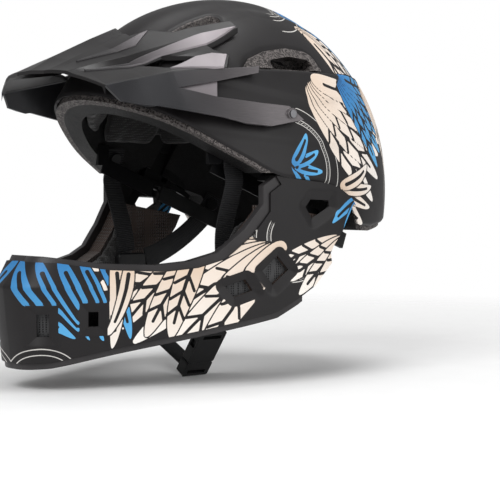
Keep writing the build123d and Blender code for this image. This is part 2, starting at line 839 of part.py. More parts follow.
# Foam of the guard, and the cheek pads that lie on it
pillar_y = -guard_reach * guard_top_shares[-2][0]
foam_top = guard_drop * guard_top_shares[-3][1]
foam_rear = fan_point(brow_angles[-1], crown_radius * brow_shares[-1])[0]
foam_layer = guard_layer(foam_outer, foam_inner)
foam_body = guard_outline(guard_bead_inset, guard_trim_height)
foam_limit_points = [
    (-guard_reach - overrun, -guard_drop - overrun),
    (-guard_reach - overrun, guard_drop),
    (pillar_y, guard_drop),
    (pillar_y, foam_top),
    (foam_rear, foam_top - guard_liner_wall),
    (foam_rear, -guard_drop - overrun),
]
foam_limit = side_block(foam_limit_points, 0, half_width + overrun)

with BuildPart() as guard_foam:
    add(foam_layer)
    add(foam_body, mode=Mode.INTERSECT)
    add(foam_limit, mode=Mode.INTERSECT)
    for block in vent_cuts:
        add(block, mode=Mode.SUBTRACT)
    mirror(about=Plane.YZ)
guard_foam.part.label = "guard_foam"
export_step(guard_foam.part, "parts/guard_foam.step")

cheek_front = -guard_reach * guard_plan_shares[2][1]
cheek_rear = -guard_reach * guard_plan_shares[-4][1] + guard_pad_wall
cheek_layer = guard_layer(pad_outer, guard_pad_face)
cheek_floor = guard_drop * cheek_floor_share
cheek_roof = foam_top - 2 * guard_pad_wall
cheek_seam_layer = guard_layer(guard_pad_face + seam_depth, guard_pad_face - fit_gap)
with BuildPart() as cheek_seams:
    add(cheek_seam_layer)
    with BuildSketch(Plane.XY.offset(-guard_drop)):
        with Locations((half_width / 2, (cheek_front + cheek_rear) / 2)):
            with GridLocations(0, cheek_seam_pitch, 1, cheek_seam_count):
                Rectangle(half_width, seam_width)
    extrude(amount=2 * guard_drop, mode=Mode.INTERSECT)

with BuildPart() as cheek_pad:
    add(cheek_layer)
    add(foam_body, mode=Mode.INTERSECT)
    with BuildSketch(Plane.XY.offset(cheek_floor)):
        with Locations((half_width / 2, (cheek_front + cheek_rear) / 2)):
            Rectangle(2 * half_width, cheek_rear - cheek_front)
    extrude(amount=cheek_roof - cheek_floor, mode=Mode.INTERSECT)
    add(cheek_seams.part, mode=Mode.SUBTRACT)
save_pair(cheek_pad, "cheek_pad")

# Mesh plates set back in the vents
mesh_layer = guard_layer(-mesh_inset, -mesh_inset - mesh_wall)
mesh_cuts = guard_vents(-fit_gap)


def mesh_group(blocks, name):
    """Mesh plates of the named vents on both sides, as one node."""
    with BuildPart() as cutters:
        for block in blocks:
            add(block)
    with BuildPart() as plates:
        add(mesh_layer)
        add(cutters.part, mode=Mode.INTERSECT)
        mirror(about=Plane.YZ)
    plates.part.label = name
    export_step(plates.part, "parts/" + name + ".step")


mesh_group(mesh_cuts[:2], "side_vent_mesh")
mesh_group(mesh_cuts[2:3], "front_vent_mesh")

# Tongues: flange, long tongue and two guide tabs in one moulding on each end of the guard
guard_outside = guard_layer(overrun, -guard_wall - guard_trim_step - fit_gap / 2)
flange_rim = rim_points(0)[rim_start:-1]
with BuildPart() as flange_block:
    with BuildSketch(Plane.YZ.offset(flange_inner)):
        with BuildLine():
            upper = Spline(*[slid(point, rim_clearance) for point in flange_rim])
            lower = Spline(*[slid(point, rim_clearance + flange_wall) for point in flange_rim])
            Line(upper @ 0, lower @ 0)
            Line(upper @ 1, lower @ 1)
        make_face()
    extrude(amount=guard_half + overrun / 2 - flange_inner)

tongue_plane = Plane(
    origin=(tongue_inner, tongue_middle, flange_level),
    x_dir=slide_direction,
    z_dir=(1, 0, 0),
)
button_place = tongue_length - tongue_width / 2
with BuildPart() as guard_tongue:
    add(flange_block.part)
    add(guard_outside, mode=Mode.SUBTRACT)
    with BuildSketch(tongue_plane):
        with Locations(((button_place - flange_wall) / 2, 0)):
            Rectangle(button_place + flange_wall, tongue_width)
        with Locations((button_place, 0)):
            Circle(tongue_width / 2)
        with Locations((button_place, 0)):
            Circle(button_radius + button_clearance, mode=Mode.SUBTRACT)
        for place, foot in zip((-tab_pitch, tab_pitch), tab_feet):
            with Locations(((tab_length - foot) / 2, place)):
                Rectangle(tab_length + foot, tab_width)
    extrude(amount=tongue_wall)
save_pair(guard_tongue, "guard_tongue")

with BuildPart() as latch_button:
    with BuildSketch(tongue_plane.offset(-button_height / 2)):
        with Locations((button_place, 0)):
            Circle(button_radius)
    extrude(amount=button_height)
    fillet(latch_button.edges().sort_by(Axis.X)[0], radius=button_clearance)
save_pair(latch_button, "latch_button")

# Fit system: a ring round the head in a plane that leans down towards the nape
ring_lean = radians(ring_tilt)
fit_plane = Plane(
    origin=(0, ring_middle_y, ring_middle_z),
    x_dir=(1, 0, 0),
    z_dir=(0, sin(ring_lean), cos(ring_lean)),
)
cradle_middle = ring_reach - cradle_wall / 2
rack_end = cradle_half + rack_travel + ring_wall
rack_depth = 2 * ring_wall
rack_length = rack_end * rack_share
rack_middle = pinion_radius + pinion_clearance + rack_height / 2

with BuildPart() as fit_ring:
    with BuildSketch(fit_plane.offset(-ring_height / 2)):
        RectangleRounded(2 * ring_half, 2 * ring_reach, ring_corner)
        RectangleRounded(
            2 * (ring_half - ring_wall),
            2 * (ring_reach - ring_wall),
            ring_corner - ring_wall,
            mode=Mode.SUBTRACT,
        )
    extrude(amount=ring_height)

# Side arms of the ring end in tabs that stand against the foam at the temples
band_end = fit_plane.from_local_coords((0, -band_front, 0))
band_inside = ring_half - ring_wall
with BuildPart() as band_tabs:
    with BuildSketch(Plane.XY.offset(band_end.Z)):
        with Locations((band_inside + band_tab_depth / 2, band_end.Y)):
            Rectangle(band_tab_depth, band_tab_length)
    extrude(amount=band_tab_top - band_end.Z)
    add(pad_dome, mode=Mode.INTERSECT)
    mirror(about=Plane.YZ)

with BuildPart() as front_band:
    add(fit_ring.part)
    with BuildSketch(fit_plane.offset(-ring_height)):
        with Locations((0, -(band_front + ring_break) / 2)):
            Rectangle(4 * ring_half, band_front - ring_break)
    extrude(amount=2 * ring_height, mode=Mode.INTERSECT)
    add(band_tabs.part)
front_band.part.label = "front_band"
export_step(front_band.part, "parts/front_band.step")


def half_band(side):
    """Rear half of the ring on one side, with the rack that runs into the cradle."""
    with BuildPart() as band:
        add(fit_ring.part)
        with BuildSketch(fit_plane.offset(-ring_height)):
            with Locations((side * (rack_end + ring_half / 2), ring_reach)):
                Rectangle(ring_half, 2 * (ring_reach - ring_break))
        extrude(amount=2 * ring_height, mode=Mode.INTERSECT)
        with BuildSketch(fit_plane.offset(-ring_height / 2)):
            with Locations((side * rack_end, cradle_middle)):
                Rectangle(2 * ring_wall, cradle_wall)
        extrude(amount=ring_height)
        with BuildSketch(fit_plane.offset(side * rack_middle - rack_height / 2)):
            with Locations((side * (rack_end - rack_length / 2), cradle_middle)):
                Rectangle(rack_length, rack_depth)
        extrude(amount=rack_height)
    return band


for side, name in ((1, "rear_band_left"), (-1, "rear_band_right")):
    band = half_band(side)
    band.part.label = name
    export_step(band.part, "parts/" + name + ".step")

slot_half = rack_middle + rack_height / 2 + pinion_clearance
axle_clearance = pinion_radius + pinion_clearance
dial_axis_plane = Plane(
    origin=fit_plane.from_local_coords((0, cradle_middle + cradle_wall / 2, 0)),
    x_dir=(1, 0, 0),
    z_dir=fit_plane.y_dir,
)

with BuildPart() as cradle:
    with BuildSketch(dial_axis_plane):
        RectangleRounded(2 * cradle_half, cradle_height, cradle_wall)
    extrude(amount=-cradle_wall)
    with BuildSketch(fit_plane.offset(-slot_half)):
        with Locations((0, cradle_middle)):
            Rectangle(4 * cradle_half, rack_depth + 2 * pinion_clearance)
    extrude(amount=2 * slot_half, mode=Mode.SUBTRACT)
    with BuildSketch(dial_axis_plane):
        Circle(axle_clearance)
    extrude(amount=-cradle_wall + cradle_skin, mode=Mode.SUBTRACT)
cradle.part.label = "cradle"
export_step(cradle.part, "parts/cradle.step")

with BuildPart() as fit_dial:
    with BuildSketch(dial_axis_plane.offset(fit_gap)):
        Circle(dial_radius)
        with PolarLocations(dial_radius, dial_grips):
            Circle(grip_radius)
    extrude(amount=dial_height)
    with BuildSketch(dial_axis_plane.offset(fit_gap + dial_height)):
        Circle(dial_radius - 2 * grip_radius)
    extrude(amount=grip_radius, taper=anchor_taper)
    with BuildSketch(dial_axis_plane.offset(fit_gap)):
        Circle(pinion_radius)
    extrude(amount=-cradle_wall + cradle_skin + fit_gap)
fit_dial.part.label = "fit_dial"
export_step(fit_dial.part, "parts/fit_dial.step")

# Hangers that carry the cradle from the foam at the nape
hanger_foot = fit_plane.from_local_coords((0, cradle_middle - cradle_wall / 2, cradle_height / 2))
hanger_side = (hanger_pitch + hanger_width) / 2
hanger_narrowing = sqrt(1 - (hanger_side / (half_width + cavity_growth)) ** 2)
hanger_ends = [
    fan_point(angle, (crown_radius * share + cavity_growth) * hanger_narrowing - fit_gap)
    for angle, share in zip(hanger_angles, hanger_shares)
]
with BuildPart() as hangers:
    with BuildSketch(Plane.YZ.offset(hanger_pitch / 2 - hanger_width / 2)):
        with BuildLine():
            Polyline(
                (hanger_foot.Y, hanger_foot.Z),
                (hanger_foot.Y + hanger_wall, hanger_foot.Z),
                hanger_ends[1],
                hanger_ends[0],
                (hanger_ends[0][0] - hanger_wall, hanger_ends[0][1]),
                (hanger_ends[1][0] - hanger_wall, hanger_ends[1][1]),
                close=True,
            )
        make_face()
    extrude(amount=hanger_width)
    mirror(about=Plane.YZ)
hangers.part.label = "cradle_hangers"
export_step(hangers.part, "parts/cradle_hangers.step")


# Webbing: a flat strip through places, each with the way its width points
def webbing(places, width, wall):
    """Flat strip lofted through places, each a point and the direction of its width."""
    with BuildPart() as strip:
        for index, (point, across) in enumerate(places):
            before = Vector(places[max(index - 1, 0)][0])
            after = Vector(places[min(index + 1, len(places) - 1)][0])
            plane = Plane(origin=point, x_dir=across, z_dir=after - before)
            with BuildSketch(plane):
                Rectangle(width, wall)
        loft(ruled=True)
    return strip


# Strap places as shares of half width, crown radius and crown radius, on the wearer's left
divider_shares = (0.530, -0.216, -0.148)
front_strap_shares = [
    (0.632, -0.250, 0.364), (0.667, -0.250, 0.261), (0.667, -0.250, 0.193),
    (0.571, -0.244, 0.045), (0.543, -0.233, -0.084),
]
rear_strap_shares = [
    (0.657, 0.341, 0.148), (0.668, 0.284, 0.074), (0.650, 0.148, -0.023),
    (0.581, -0.023, -0.091), (0.541, -0.128, -0.116),
]
near_strap_shares = [(0.526, -0.216, -0.207), (0.505, -0.216, -0.261), (0.443, -0.216, -0.330)]
far_strap_shares = [
    (-0.526, -0.216, -0.207), (-0.495, -0.216, -0.267), (-0.362, -0.216, -0.369),
    (-0.152, -0.216, -0.449),
]
buckle_shares = (0.229, -0.216, -0.514)
level = (0, 1, 0)
front_lean = (0, 1, 0.08)
rear_leans = [(0.3, -0.75, 0.6), (0.15, -0.75, 0.6), (0, -0.6, 0.8), (0, -0.3, 0.95), (0, -0.23, 0.97)]


def strap_point(shares):
    """Point of a strap from its shares of half width and crown radius."""
    x_share, y_share, z_share = shares
    return Vector(half_width * x_share, crown_radius * y_share, crown_radius * z_share)


# Side-release buckle: local x runs from the male part to the female part
buckle_direction = Vector(cos(radians(buckle_rise)), 0, sin(radians(buckle_rise)))
buckle_place = strap_point(buckle_shares)
buckle_plane = Plane(
    origin=buckle_place,
    x_dir=buckle_direction,
    z_dir=buckle_direction.cross(Vector(0, 1, 0)),
)
male_slot = -buckle_grip + 2 * buckle_wall
female_end = buckle_length + buckle_clearance
strap_stand_off = buckle_height / 2 + web_wall / 4

front_strap_places = [(strap_point(shares), level) for shares in front_strap_shares[:-1]]
front_strap_places.append((strap_point(front_strap_shares[-1]), front_lean))
rear_strap_places = [(strap_point(s), lean) for s, lean in zip(rear_strap_shares, rear_leans)]
near_strap_places = [(strap_point(shares), level) for shares in near_strap_shares]
near_strap_places.append((buckle_plane.from_local_coords((female_end, 0, 0)), level))
far_strap_places = [(strap_point(shares), level) for shares in far_strap_shares]
far_strap_places.append((buckle_plane.from_local_coords((male_slot, 0, strap_stand_off)), level))

front_strap = webbing(front_strap_places, web_width, web_wall)
save_pair(front_strap, "front_strap")
rear_strap = webbing(rear_strap_places, web_width, web_wall)
save_pair(rear_strap, "rear_strap")
near_strap = webbing(near_strap_places, web_width, web_wall)
near_strap.part.label = "chin_strap_left"
export_step(near_strap.part, "parts/chin_strap_left.step")
far_strap = webbing(far_strap_places, web_width, web_wall)
far_strap.part.label = "chin_strap_right"
export_step(far_strap.part, "parts/chin_strap_right.step")

# Rivets that hold the strap ends against the foam
with BuildPart() as anchors:
    for places in (front_strap_places, rear_strap_places):
        top, across = places[0]
        along = (places[1][0] - top).normalized()
        inward = Vector(across).cross(along).normalized()
        inward = inward * (-1 if inward.X > 0 else 1)
        seat = top + along * (web_width / 2) + inward * (web_wall / 2 + 2 * fit_gap)
        with BuildSketch(Plane(origin=seat, x_dir=along, z_dir=inward)):
            Circle(anchor_radius)
        extrude(amount=anchor_height, taper=anchor_taper)
    mirror(about=Plane.YZ)
anchors.part.label = "strap_anchors"
export_step(anchors.part, "parts/strap_anchors.step")

# Divider: a slotted block in which the straps of one side meet
with BuildPart() as divider:
    with BuildSketch(Plane(origin=strap_point(divider_shares), x_dir=(0, 1, 0), z_dir=(1, 0, 0))):
        RectangleRounded(divider_width, divider_length, divider_height / 2)
    extrude(amount=divider_height / 2, both=True)
    chamfer(divider.faces().filter_by(Axis.X).edges(), length=buckle_wall / 2)
save_pair(divider, "strap_divider")

# Side-release buckle, female part with windows at its sides, male part with three prongs
cavity_length = buckle_length * cavity_share
cavity_width = buckle_width - 2 * buckle_wall
cavity_height = buckle_height - 2 * buckle_wall
female_middle = buckle_length / 2
window_length = prong_head

with BuildPart() as buckle_female:
    with BuildSketch(buckle_plane.offset(-buckle_height / 2)):
        with Locations((female_middle, 0)):
            RectangleRounded(buckle_length, buckle_width, buckle_wall)
    extrude(amount=buckle_height)
    with BuildSketch(buckle_plane.offset(-cavity_height / 2)):
        with Locations((cavity_length / 2, 0)):
            Rectangle(cavity_length, cavity_width)
        with Locations((cavity_length - window_length / 2, 0)):
            Rectangle(window_length, 2 * buckle_width)
    extrude(amount=cavity_height, mode=Mode.SUBTRACT)
    # slot for the strap at the upper end
    with BuildSketch(buckle_plane.offset(-buckle_height)):
        with Locations((buckle_length - 2 * buckle_wall - slot_gap / 2, 0)):
            Rectangle(slot_gap, web_width + 2 * buckle_clearance)
    extrude(amount=2 * buckle_height, mode=Mode.SUBTRACT)
buckle_female.part.label = "buckle_female"
export_step(buckle_female.part, "parts/buckle_female.step")

prong_length = cavity_length - buckle_clearance
prong_place = cavity_width / 2 - buckle_clearance - prong_width / 2
prong_height = cavity_height - 2 * buckle_clearance
head_length = prong_head - 2 * buckle_clearance
head_place = prong_length - head_length / 2
with BuildPart() as buckle_male:
    with BuildSketch(buckle_plane.offset(-buckle_height / 2)):
        with Locations((-buckle_grip / 2 - buckle_clearance, 0)):
            RectangleRounded(buckle_grip, buckle_width, buckle_wall)
    extrude(amount=buckle_height)
    with BuildSketch(buckle_plane.offset(-prong_height / 2)):
        for place in (-prong_place, 0, prong_place):
            with Locations((prong_length / 2 - buckle_clearance, place)):
                Rectangle(prong_length, prong_width)
        for side in (-1, 1):
            with Locations((head_place, side * (prong_place - buckle_wall / 2))):
                Rectangle(head_length, prong_width + buckle_wall)
    extrude(amount=prong_height)
    with BuildSketch(buckle_plane.offset(-buckle_height)):
        with Locations((male_slot, 0)):
            Rectangle(slot_gap, web_width + 2 * buckle_clearance)
    extrude(amount=2 * buckle_height, mode=Mode.SUBTRACT)
buckle_male.part.label = "buckle_male"
export_step(buckle_male.part, "parts/buckle_male.step")

# Rubber keeper round the strap above the buckle
keeper_top = strap_point(near_strap_shares[1])
keeper_base = strap_point(near_strap_shares[2])
keeper_plane = Plane(origin=(keeper_top + keeper_base) / 2, x_dir=level, z_dir=keeper_top - keeper_base)
with BuildPart() as strap_keeper:
    with BuildSketch(keeper_plane):
        RectangleRounded(web_width + 2 * keeper_wall, web_wall + 2 * keeper_wall, keeper_wall / 2)
        Rectangle(
            web_width + 2 * buckle_clearance, web_wall + 2 * buckle_clearance, mode=Mode.SUBTRACT
        )
    extrude(amount=keeper_length / 2, both=True)
strap_keeper.part.label = "strap_keeper"
export_step(strap_keeper.part, "parts/strap_keeper.step")
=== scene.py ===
import json
from math import cos, pi, radians, sin

import bpy
import numpy as np
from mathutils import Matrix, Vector


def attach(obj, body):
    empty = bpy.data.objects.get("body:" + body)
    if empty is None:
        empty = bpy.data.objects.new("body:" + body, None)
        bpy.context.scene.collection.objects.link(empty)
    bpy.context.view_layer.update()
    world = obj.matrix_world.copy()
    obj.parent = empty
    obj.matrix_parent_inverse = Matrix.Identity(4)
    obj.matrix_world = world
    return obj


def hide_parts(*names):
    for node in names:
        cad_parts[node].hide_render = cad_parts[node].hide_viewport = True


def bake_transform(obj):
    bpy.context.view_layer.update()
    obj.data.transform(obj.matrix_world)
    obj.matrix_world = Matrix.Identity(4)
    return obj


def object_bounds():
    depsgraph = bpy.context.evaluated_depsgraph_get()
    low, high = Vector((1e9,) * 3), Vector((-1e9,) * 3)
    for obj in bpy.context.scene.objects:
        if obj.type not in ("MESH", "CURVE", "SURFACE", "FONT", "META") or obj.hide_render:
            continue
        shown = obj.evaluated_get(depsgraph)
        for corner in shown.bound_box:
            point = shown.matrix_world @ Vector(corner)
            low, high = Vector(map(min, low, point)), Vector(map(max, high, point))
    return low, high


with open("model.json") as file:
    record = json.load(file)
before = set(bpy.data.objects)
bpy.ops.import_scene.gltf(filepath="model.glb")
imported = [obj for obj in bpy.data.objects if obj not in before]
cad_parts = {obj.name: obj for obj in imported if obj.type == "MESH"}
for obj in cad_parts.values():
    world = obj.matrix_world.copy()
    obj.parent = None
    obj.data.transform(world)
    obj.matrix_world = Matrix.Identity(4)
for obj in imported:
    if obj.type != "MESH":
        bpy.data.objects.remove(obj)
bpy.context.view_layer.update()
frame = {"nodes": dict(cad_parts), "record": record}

# Driving dimensions in metres. Most are the part's own; the walls of the shells, the guard and the
# straps are a little thinner here, the front vents a little smaller and the pin holes wider.
crown_radius = 0.176
half_width = 0.105
shell_wall = 0.0018
wrap_step = 0.0012
seam_height = 0.1196
seam_gap = 0.0003
guard_half = 0.101
guard_reach = 0.171
guard_drop = 0.091
guard_bulge = 0.0176
guard_wall = 0.0026
guard_bead_inset = 0.005
guard_trim_height = 0.0045
slide_lean = 25.0
rim_clearance = 0.001
far = 1.0
liner_start = 0.0023
liner_wall = 0.021
beads_level = 0.112

fan_angles = [24, 38, 56, 74, 92, 110, 127, 144, 160, 174, 190]
crown_shares = [0.915, 0.935, 0.973, 0.989, 1.002, 1.011, 0.991, 0.951, 0.884, 0.826, 0.765]
brow_angles = [36.6, 38.6, 41.0, 44.2, 50.0, 58.9, 73.0, 97.0, 124.0, 145.0, 155.0]
brow_shares = [1.02, 0.852, 0.705, 0.528, 0.388, 0.293, 0.250, 0.229, 0.250, 0.281, 0.292]
nape_angles = [172.7, 175.5, 175.0]
nape_shares = [0.315, 0.423, 1.10]

# Vents of the shells
eyebrow_arch = [
    (-0.0350, 0.0010), (-0.0280, 0.0072), (-0.0125, 0.0131), (0.0076, 0.0164),
    (0.0280, 0.0146), (0.0340, 0.0110), (0.0384, 0.0014),
]
eyebrow_corner = 0.0035
eyebrow_lip = 0.0065
slot_length = 0.070
slot_width = 0.011
slot_middle = -0.066
slot_places = [0.040]
rear_slot_width = 0.020
rear_slot_height = 0.034
rear_slot_place = 0.030
rear_slot_level = 0.092
pivot_y = -0.014
pivot_z = 0.0865
pivot_hole = 0.0028

# Guard, as shares of half width, reach and drop
guard_plan_shares = [
    (0.0, 1.0), (0.198, 0.988), (0.386, 0.801), (0.574, 0.608), (0.733, 0.450),
    (0.851, 0.304), (0.931, 0.164), (0.980, 0.0), (1.0, -0.164), (0.990, -0.374),
]
guard_angles = [0, 38, 59, 60, 62, 68, 76, 85, 90, 92]
guard_level_shares = [0.53, -0.13, -0.363, -0.68, -1.08]
guard_bulge_shares = [
    (0.0, 0.0, 1.0, 0.80, 0.50), (0.0, 0.0, 0.51, 0.40, 0.17), (0.0, 0.0, 0.28, 0.22, 0.05),
    (0.0, 0.0, 0.17, 0.14, 0.0), (0.0, 0.0, 0.14, 0.11, 0.0), (0.0, 0.0, 0.11, 0.08, -0.03),
    (0.0, 0.0, 0.06, 0.03, -0.06), (0.0, 0.0, 0.03, 0.0, -0.11), (0.0, 0.0, 0.02, -0.02, -0.14),
    (0.0, 0.0, 0.02, -0.02, -0.14),
]
guard_top_shares = [
    (1.17, -0.132), (1.0, -0.132), (0.807, -0.187), (0.614, -0.201), (0.497, -0.174),
    (0.389, -0.108), (0.287, 0.066), (0.211, 0.253), (0.211, 0.396), (0.162, 0.460),
]
guard_bottom_shares = [
    (1.17, -1.0), (0.988, -0.962), (0.690, -0.841), (0.374, -0.709), (0.152, -0.622),
    (0.056, -0.530), (-0.030, -0.434), (-0.122, -0.260), (-0.116, -0.181), (-0.135, -0.120),
    (-0.179, -0.027), (-0.253, 0.209),
]
side_vent_shares = [
    [(0.378, -0.366), (0.286, -0.308), (0.251, -0.409), (0.336, -0.466)],
    [(0.222, -0.257), (0.143, -0.130), (0.085, -0.256), (0.172, -0.382)],
]
ear_vent_shares = [
    (0.012, 0.231), (-0.018, 0.299), (-0.122, 0.290), (-0.127, 0.227), (-0.025, 0.127),
]
front_vents = [((0.198, 1.0), 41, -0.64, 0.010, 0.017), ((0.366, 0.835), 59, -0.60, 0.009, 0.012)]
rim_start = 5
bevel_width = 0.0065
bevel_depth = 0.0026

# Straps, as shares of half width, crown radius and crown radius
web_width = 0.016
web_wall = 0.0014
front_strap_shares = [
    (0.632, -0.250, 0.364), (0.667, -0.250, 0.261), (0.667, -0.250, 0.193),
    (0.571, -0.244, 0.045), (0.543, -0.233, -0.084),
]
rear_strap_shares = [
    (0.657, 0.341, 0.148), (0.668, 0.284, 0.074), (0.650, 0.148, -0.023),
    (0.581, -0.023, -0.091), (0.541, -0.128, -0.116),
]
near_strap_shares = [(0.526, -0.216, -0.207), (0.505, -0.216, -0.261), (0.443, -0.216, -0.330)]
far_strap_shares = [
    (-0.526, -0.216, -0.207), (-0.495, -0.216, -0.267), (-0.362, -0.216, -0.369),
    (-0.152, -0.216, -0.449),
]
buckle_shares = (0.229, -0.216, -0.514)
buckle_rise = 54.8
buckle_length = 0.028
buckle_grip = 0.012
buckle_wall = 0.0016
level = (0, 1, 0)
front_lean = (0, 1, 0.08)
rear_leans = [
    (0.3, -0.75, 0.6), (0.15, -0.75, 0.6), (0, -0.6, 0.8), (0, -0.3, 0.95), (0, -0.23, 0.97),
]

# Picture
camera_turn = 50.0
camera_distance = 1.2
camera_height = 0.040
camera_aim_y = -0.025
lens = 115.8
shift_x = 0.12
shift_y = -0.14
studio_glow = 0.42
floor_gap = 0.0005
floor_size = 12
fade_start = 0.28
fade_end = 0.85

# Soft shape of the skins: widths and depths of lips, heights and widths of folds
vent_frame = 0.0060
valley_place = 0.0275
valley_width = 0.009
valley_depth = 0.0022
valley_front = -0.125
valley_front_ease = 0.04
valley_rear = 0.10
valley_rear_ease = 0.06
fold_fade = 0.02
crown_fold = (0.0009, 0.006)
wrap_fold = (0.0011, 0.007)
slot_lip = (0.0035, 0.0014)
arch_lip = (0.005, 0.0018)
edge_lip = (0.0022, 0.0009)
outlet_lip = (0.003, 0.001)
beyond = 0.4
dome_turns = (20, 193)
dome_side = 84
growth_probe = 0.001
guard_round = 0.30
weld_distance = 0.00001

# Cushions and straps
cushion_voxel = 0.0035
cushion_pressure = 3.0
cushion_stiffness = 30
cushion_frames = 20
cushion_swell = 0.0018
strap_steps = 10
strap_end_gap = 0.0004
strap_lift = 0.0044

# Printed pattern
print_reach = 0.012
print_outline = 0.00045
print_edge = 0.00008
line_reach = 0.0014
line_half = 0.00032
wrap_half_length = 0.14
wrap_turn_radius = 0.122
feather_places = 48
quill_span = slice(6, 40)
quill_widths = (0.0009, 0.0006)
barb_places = (14, 22, 30)
barb_width = 0.0006
lock_span = slice(7, 38)
lock_widths = (0.0010, 0.0005)

# Surfaces
bead_scale = 1000.0
bead_height = 0.0005
hole_height = 0.0005
rib_pitch = 0.0014
rib_height = 0.0004
grain_height = 0.00003
tone_scale = 38.0
tone_low = 0.35
tone_high = 0.65
tone_rise = 1.25

# Colours
warm_white = (0.93, 0.89, 0.84)
beige = (0.68, 0.50, 0.36)
light_blue = (0.12, 0.46, 0.80)
deep_blue = (0.02, 0.16, 0.42)
thin_line = (0.62, 0.60, 0.57)
shell_colour = (0.0100, 0.0088, 0.0094)
bead_dark = (0.030, 0.026, 0.026)
bead_pale = (0.24, 0.215, 0.205)
lining = (0.006, 0.0055, 0.006)
# Strap ribs: the groove colour is painted shade, the crest colour a painted highlight
web_groove_shade = (0.004, 0.004, 0.0045)
web_crest_light = (0.022, 0.022, 0.024)
# Visor arms: the front colour is painted shade, the rear colour a painted highlight; the streak
# colour is brushed paint
arm_shaded_front = (0.022, 0.022, 0.025)
arm_lit_rear = (0.16, 0.145, 0.15)
arm_streak = (0.03, 0.03, 0.032)
# Visor inlays: the tip colour is painted shade, the rear colour a painted highlight
inlay_shaded_front = (0.030, 0.028, 0.030)
inlay_lit_rear = (0.30, 0.27, 0.285)
# Colour of the holes of the perforated sheet: painted shade
hole_shade = (0.002, 0.002, 0.002)
sheet_grey = (0.05, 0.05, 0.052)
floor_grey = (0.86, 0.86, 0.86)
floor_pale = (0.90, 0.90, 0.90)


# Curves and outlines

def spline(places, values, wanted):
    """Natural cubic spline through values at places, at the wanted places."""
    places = np.asarray(places, float)
    values = np.asarray(values, float)
    count = len(places)
    gap = np.diff(places)
    system = np.eye(count)
    right = np.zeros((count,) + values.shape[1:])
    for i in range(1, count - 1):
        system[i, i - 1] = gap[i - 1]
        system[i, i] = 2 * (gap[i - 1] + gap[i])
        system[i, i + 1] = gap[i]
        rise = (values[i + 1] - values[i]) / gap[i] - (values[i] - values[i - 1]) / gap[i - 1]
        right[i] = 6 * rise
    bend = np.linalg.solve(system, right)
    wanted = np.asarray(wanted, float)
    k = np.clip(np.searchsorted(places, wanted) - 1, 0, count - 2)
    shape = (-1,) + (1,) * (values.ndim - 1)
    h = gap[k].reshape(shape)
    a = ((places[k + 1] - wanted).reshape(shape)) / h
    b = 1 - a
    curve = (a ** 3 - a) * bend[k] + (b ** 3 - b) * bend[k + 1]
    return a * values[k] + b * values[k + 1] + curve * h * h / 6


def fan_place(angle, radius):
    """Side-view place (y, z) at a fan angle and a distance from the ear axis."""
    return (-radius * cos(radians(angle)), radius * sin(radians(angle)))


def smooth_path(points, steps=8):
    """Smooth line through points."""
    points = np.asarray(points, float)
    place = np.arange(len(points))
    return spline(place, points, np.linspace(0, len(points) - 1, (len(points) - 1) * steps + 1))


def outline_field(places, outline):
    """Signed distance of places to a closed outline, positive inside."""
    outline = np.asarray(outline, float)
    nearest = np.full(len(places), far)
    inside = np.zeros(len(places), bool)
    for start, end in zip(outline, np.roll(outline, -1, axis=0)):
        along = end - start
        span = max(along @ along, 1e-12)
        share = np.clip(((places - start) @ along) / span, 0, 1)
        gap = np.linalg.norm(places - start - share[:, None] * along, axis=1)
        nearest = np.minimum(nearest, gap)
        if start[1] != end[1]:
            crosses = (start[1] > places[:, 1]) != (end[1] > places[:, 1])
            x = start[0] + (places[:, 1] - start[1]) * along[0] / (end[1] - start[1])
            inside ^= crosses & (places[:, 0] < x)
    return np.where(inside, nearest, -nearest)


def slot_field(places, middle, length, width):
    """Signed distance to a slot with round ends that runs along the second direction."""
    offset = np.abs(places - np.asarray(middle))
    over = np.maximum(offset[:, 1] - (length - width) / 2, 0)
    return width / 2 - np.hypot(offset[:, 0], over)


def eased(value):
    """Smooth step from 0 to 1."""
    value = np.clip(value, 0, 1)
    return value * value * (3 - 2 * value)


# Meshes

def grid(first, second):
    """Parameter pairs and triangles of a grid."""
    u, v = np.meshgrid(first, second, indexing="ij")
    index = np.arange(u.size).reshape(u.shape)
    a = index[:-1, :-1].ravel()
    b = index[1:, :-1].ravel()
    c = index[1:, 1:].ravel()
    d = index[:-1, 1:].ravel()
    faces = np.concatenate([np.stack([a, b, c], 1), np.stack([a, c, d], 1)])
    return np.stack([u.ravel(), v.ravel()], 1), faces


def clip(places, faces, field):
    """Cuts a triangle mesh along the zero line of a field and keeps the positive side."""
    inside = field > 0
    count = inside[faces].sum(axis=1)
    kept = [faces[count == 3]]
    one = faces[count == 1]
    lead = np.argmax(inside[one], axis=1)
    rows = np.arange(len(one))
    p = one[rows, lead]
    q = one[rows, (lead + 1) % 3]
    r = one[rows, (lead + 2) % 3]
    two = faces[count == 2]
    lead = np.argmin(inside[two], axis=1)
    rows = np.arange(len(two))
    o = two[rows, lead]
    s = two[rows, (lead + 1) % 3]
    t = two[rows, (lead + 2) % 3]
    edges = np.concatenate([np.stack(e, 1) for e in ((p, q), (p, r), (o, s), (o, t))])
    edges = np.sort(edges, axis=1)
    unique, back = np.unique(edges, axis=0, return_inverse=True)
    back = back.ravel() + len(places)
    low = field[unique[:, 0]]
    share = (low / (low - field[unique[:, 1]]))[:, None]
    cut = places[unique[:, 0]] * (1 - share) + places[unique[:, 1]] * share
    pq, pr, os, ot = np.split(back, np.cumsum([len(p), len(p), len(o)]))
    kept.append(np.stack([p, pq, pr], 1))
    kept.append(np.stack([s, t, ot], 1))
    kept.append(np.stack([s, ot, os], 1))
    faces = np.concatenate(kept)
    places = np.concatenate([places, cut])
    used, faces = np.unique(faces, return_inverse=True)
    return places[used], faces.reshape(-1, 3)


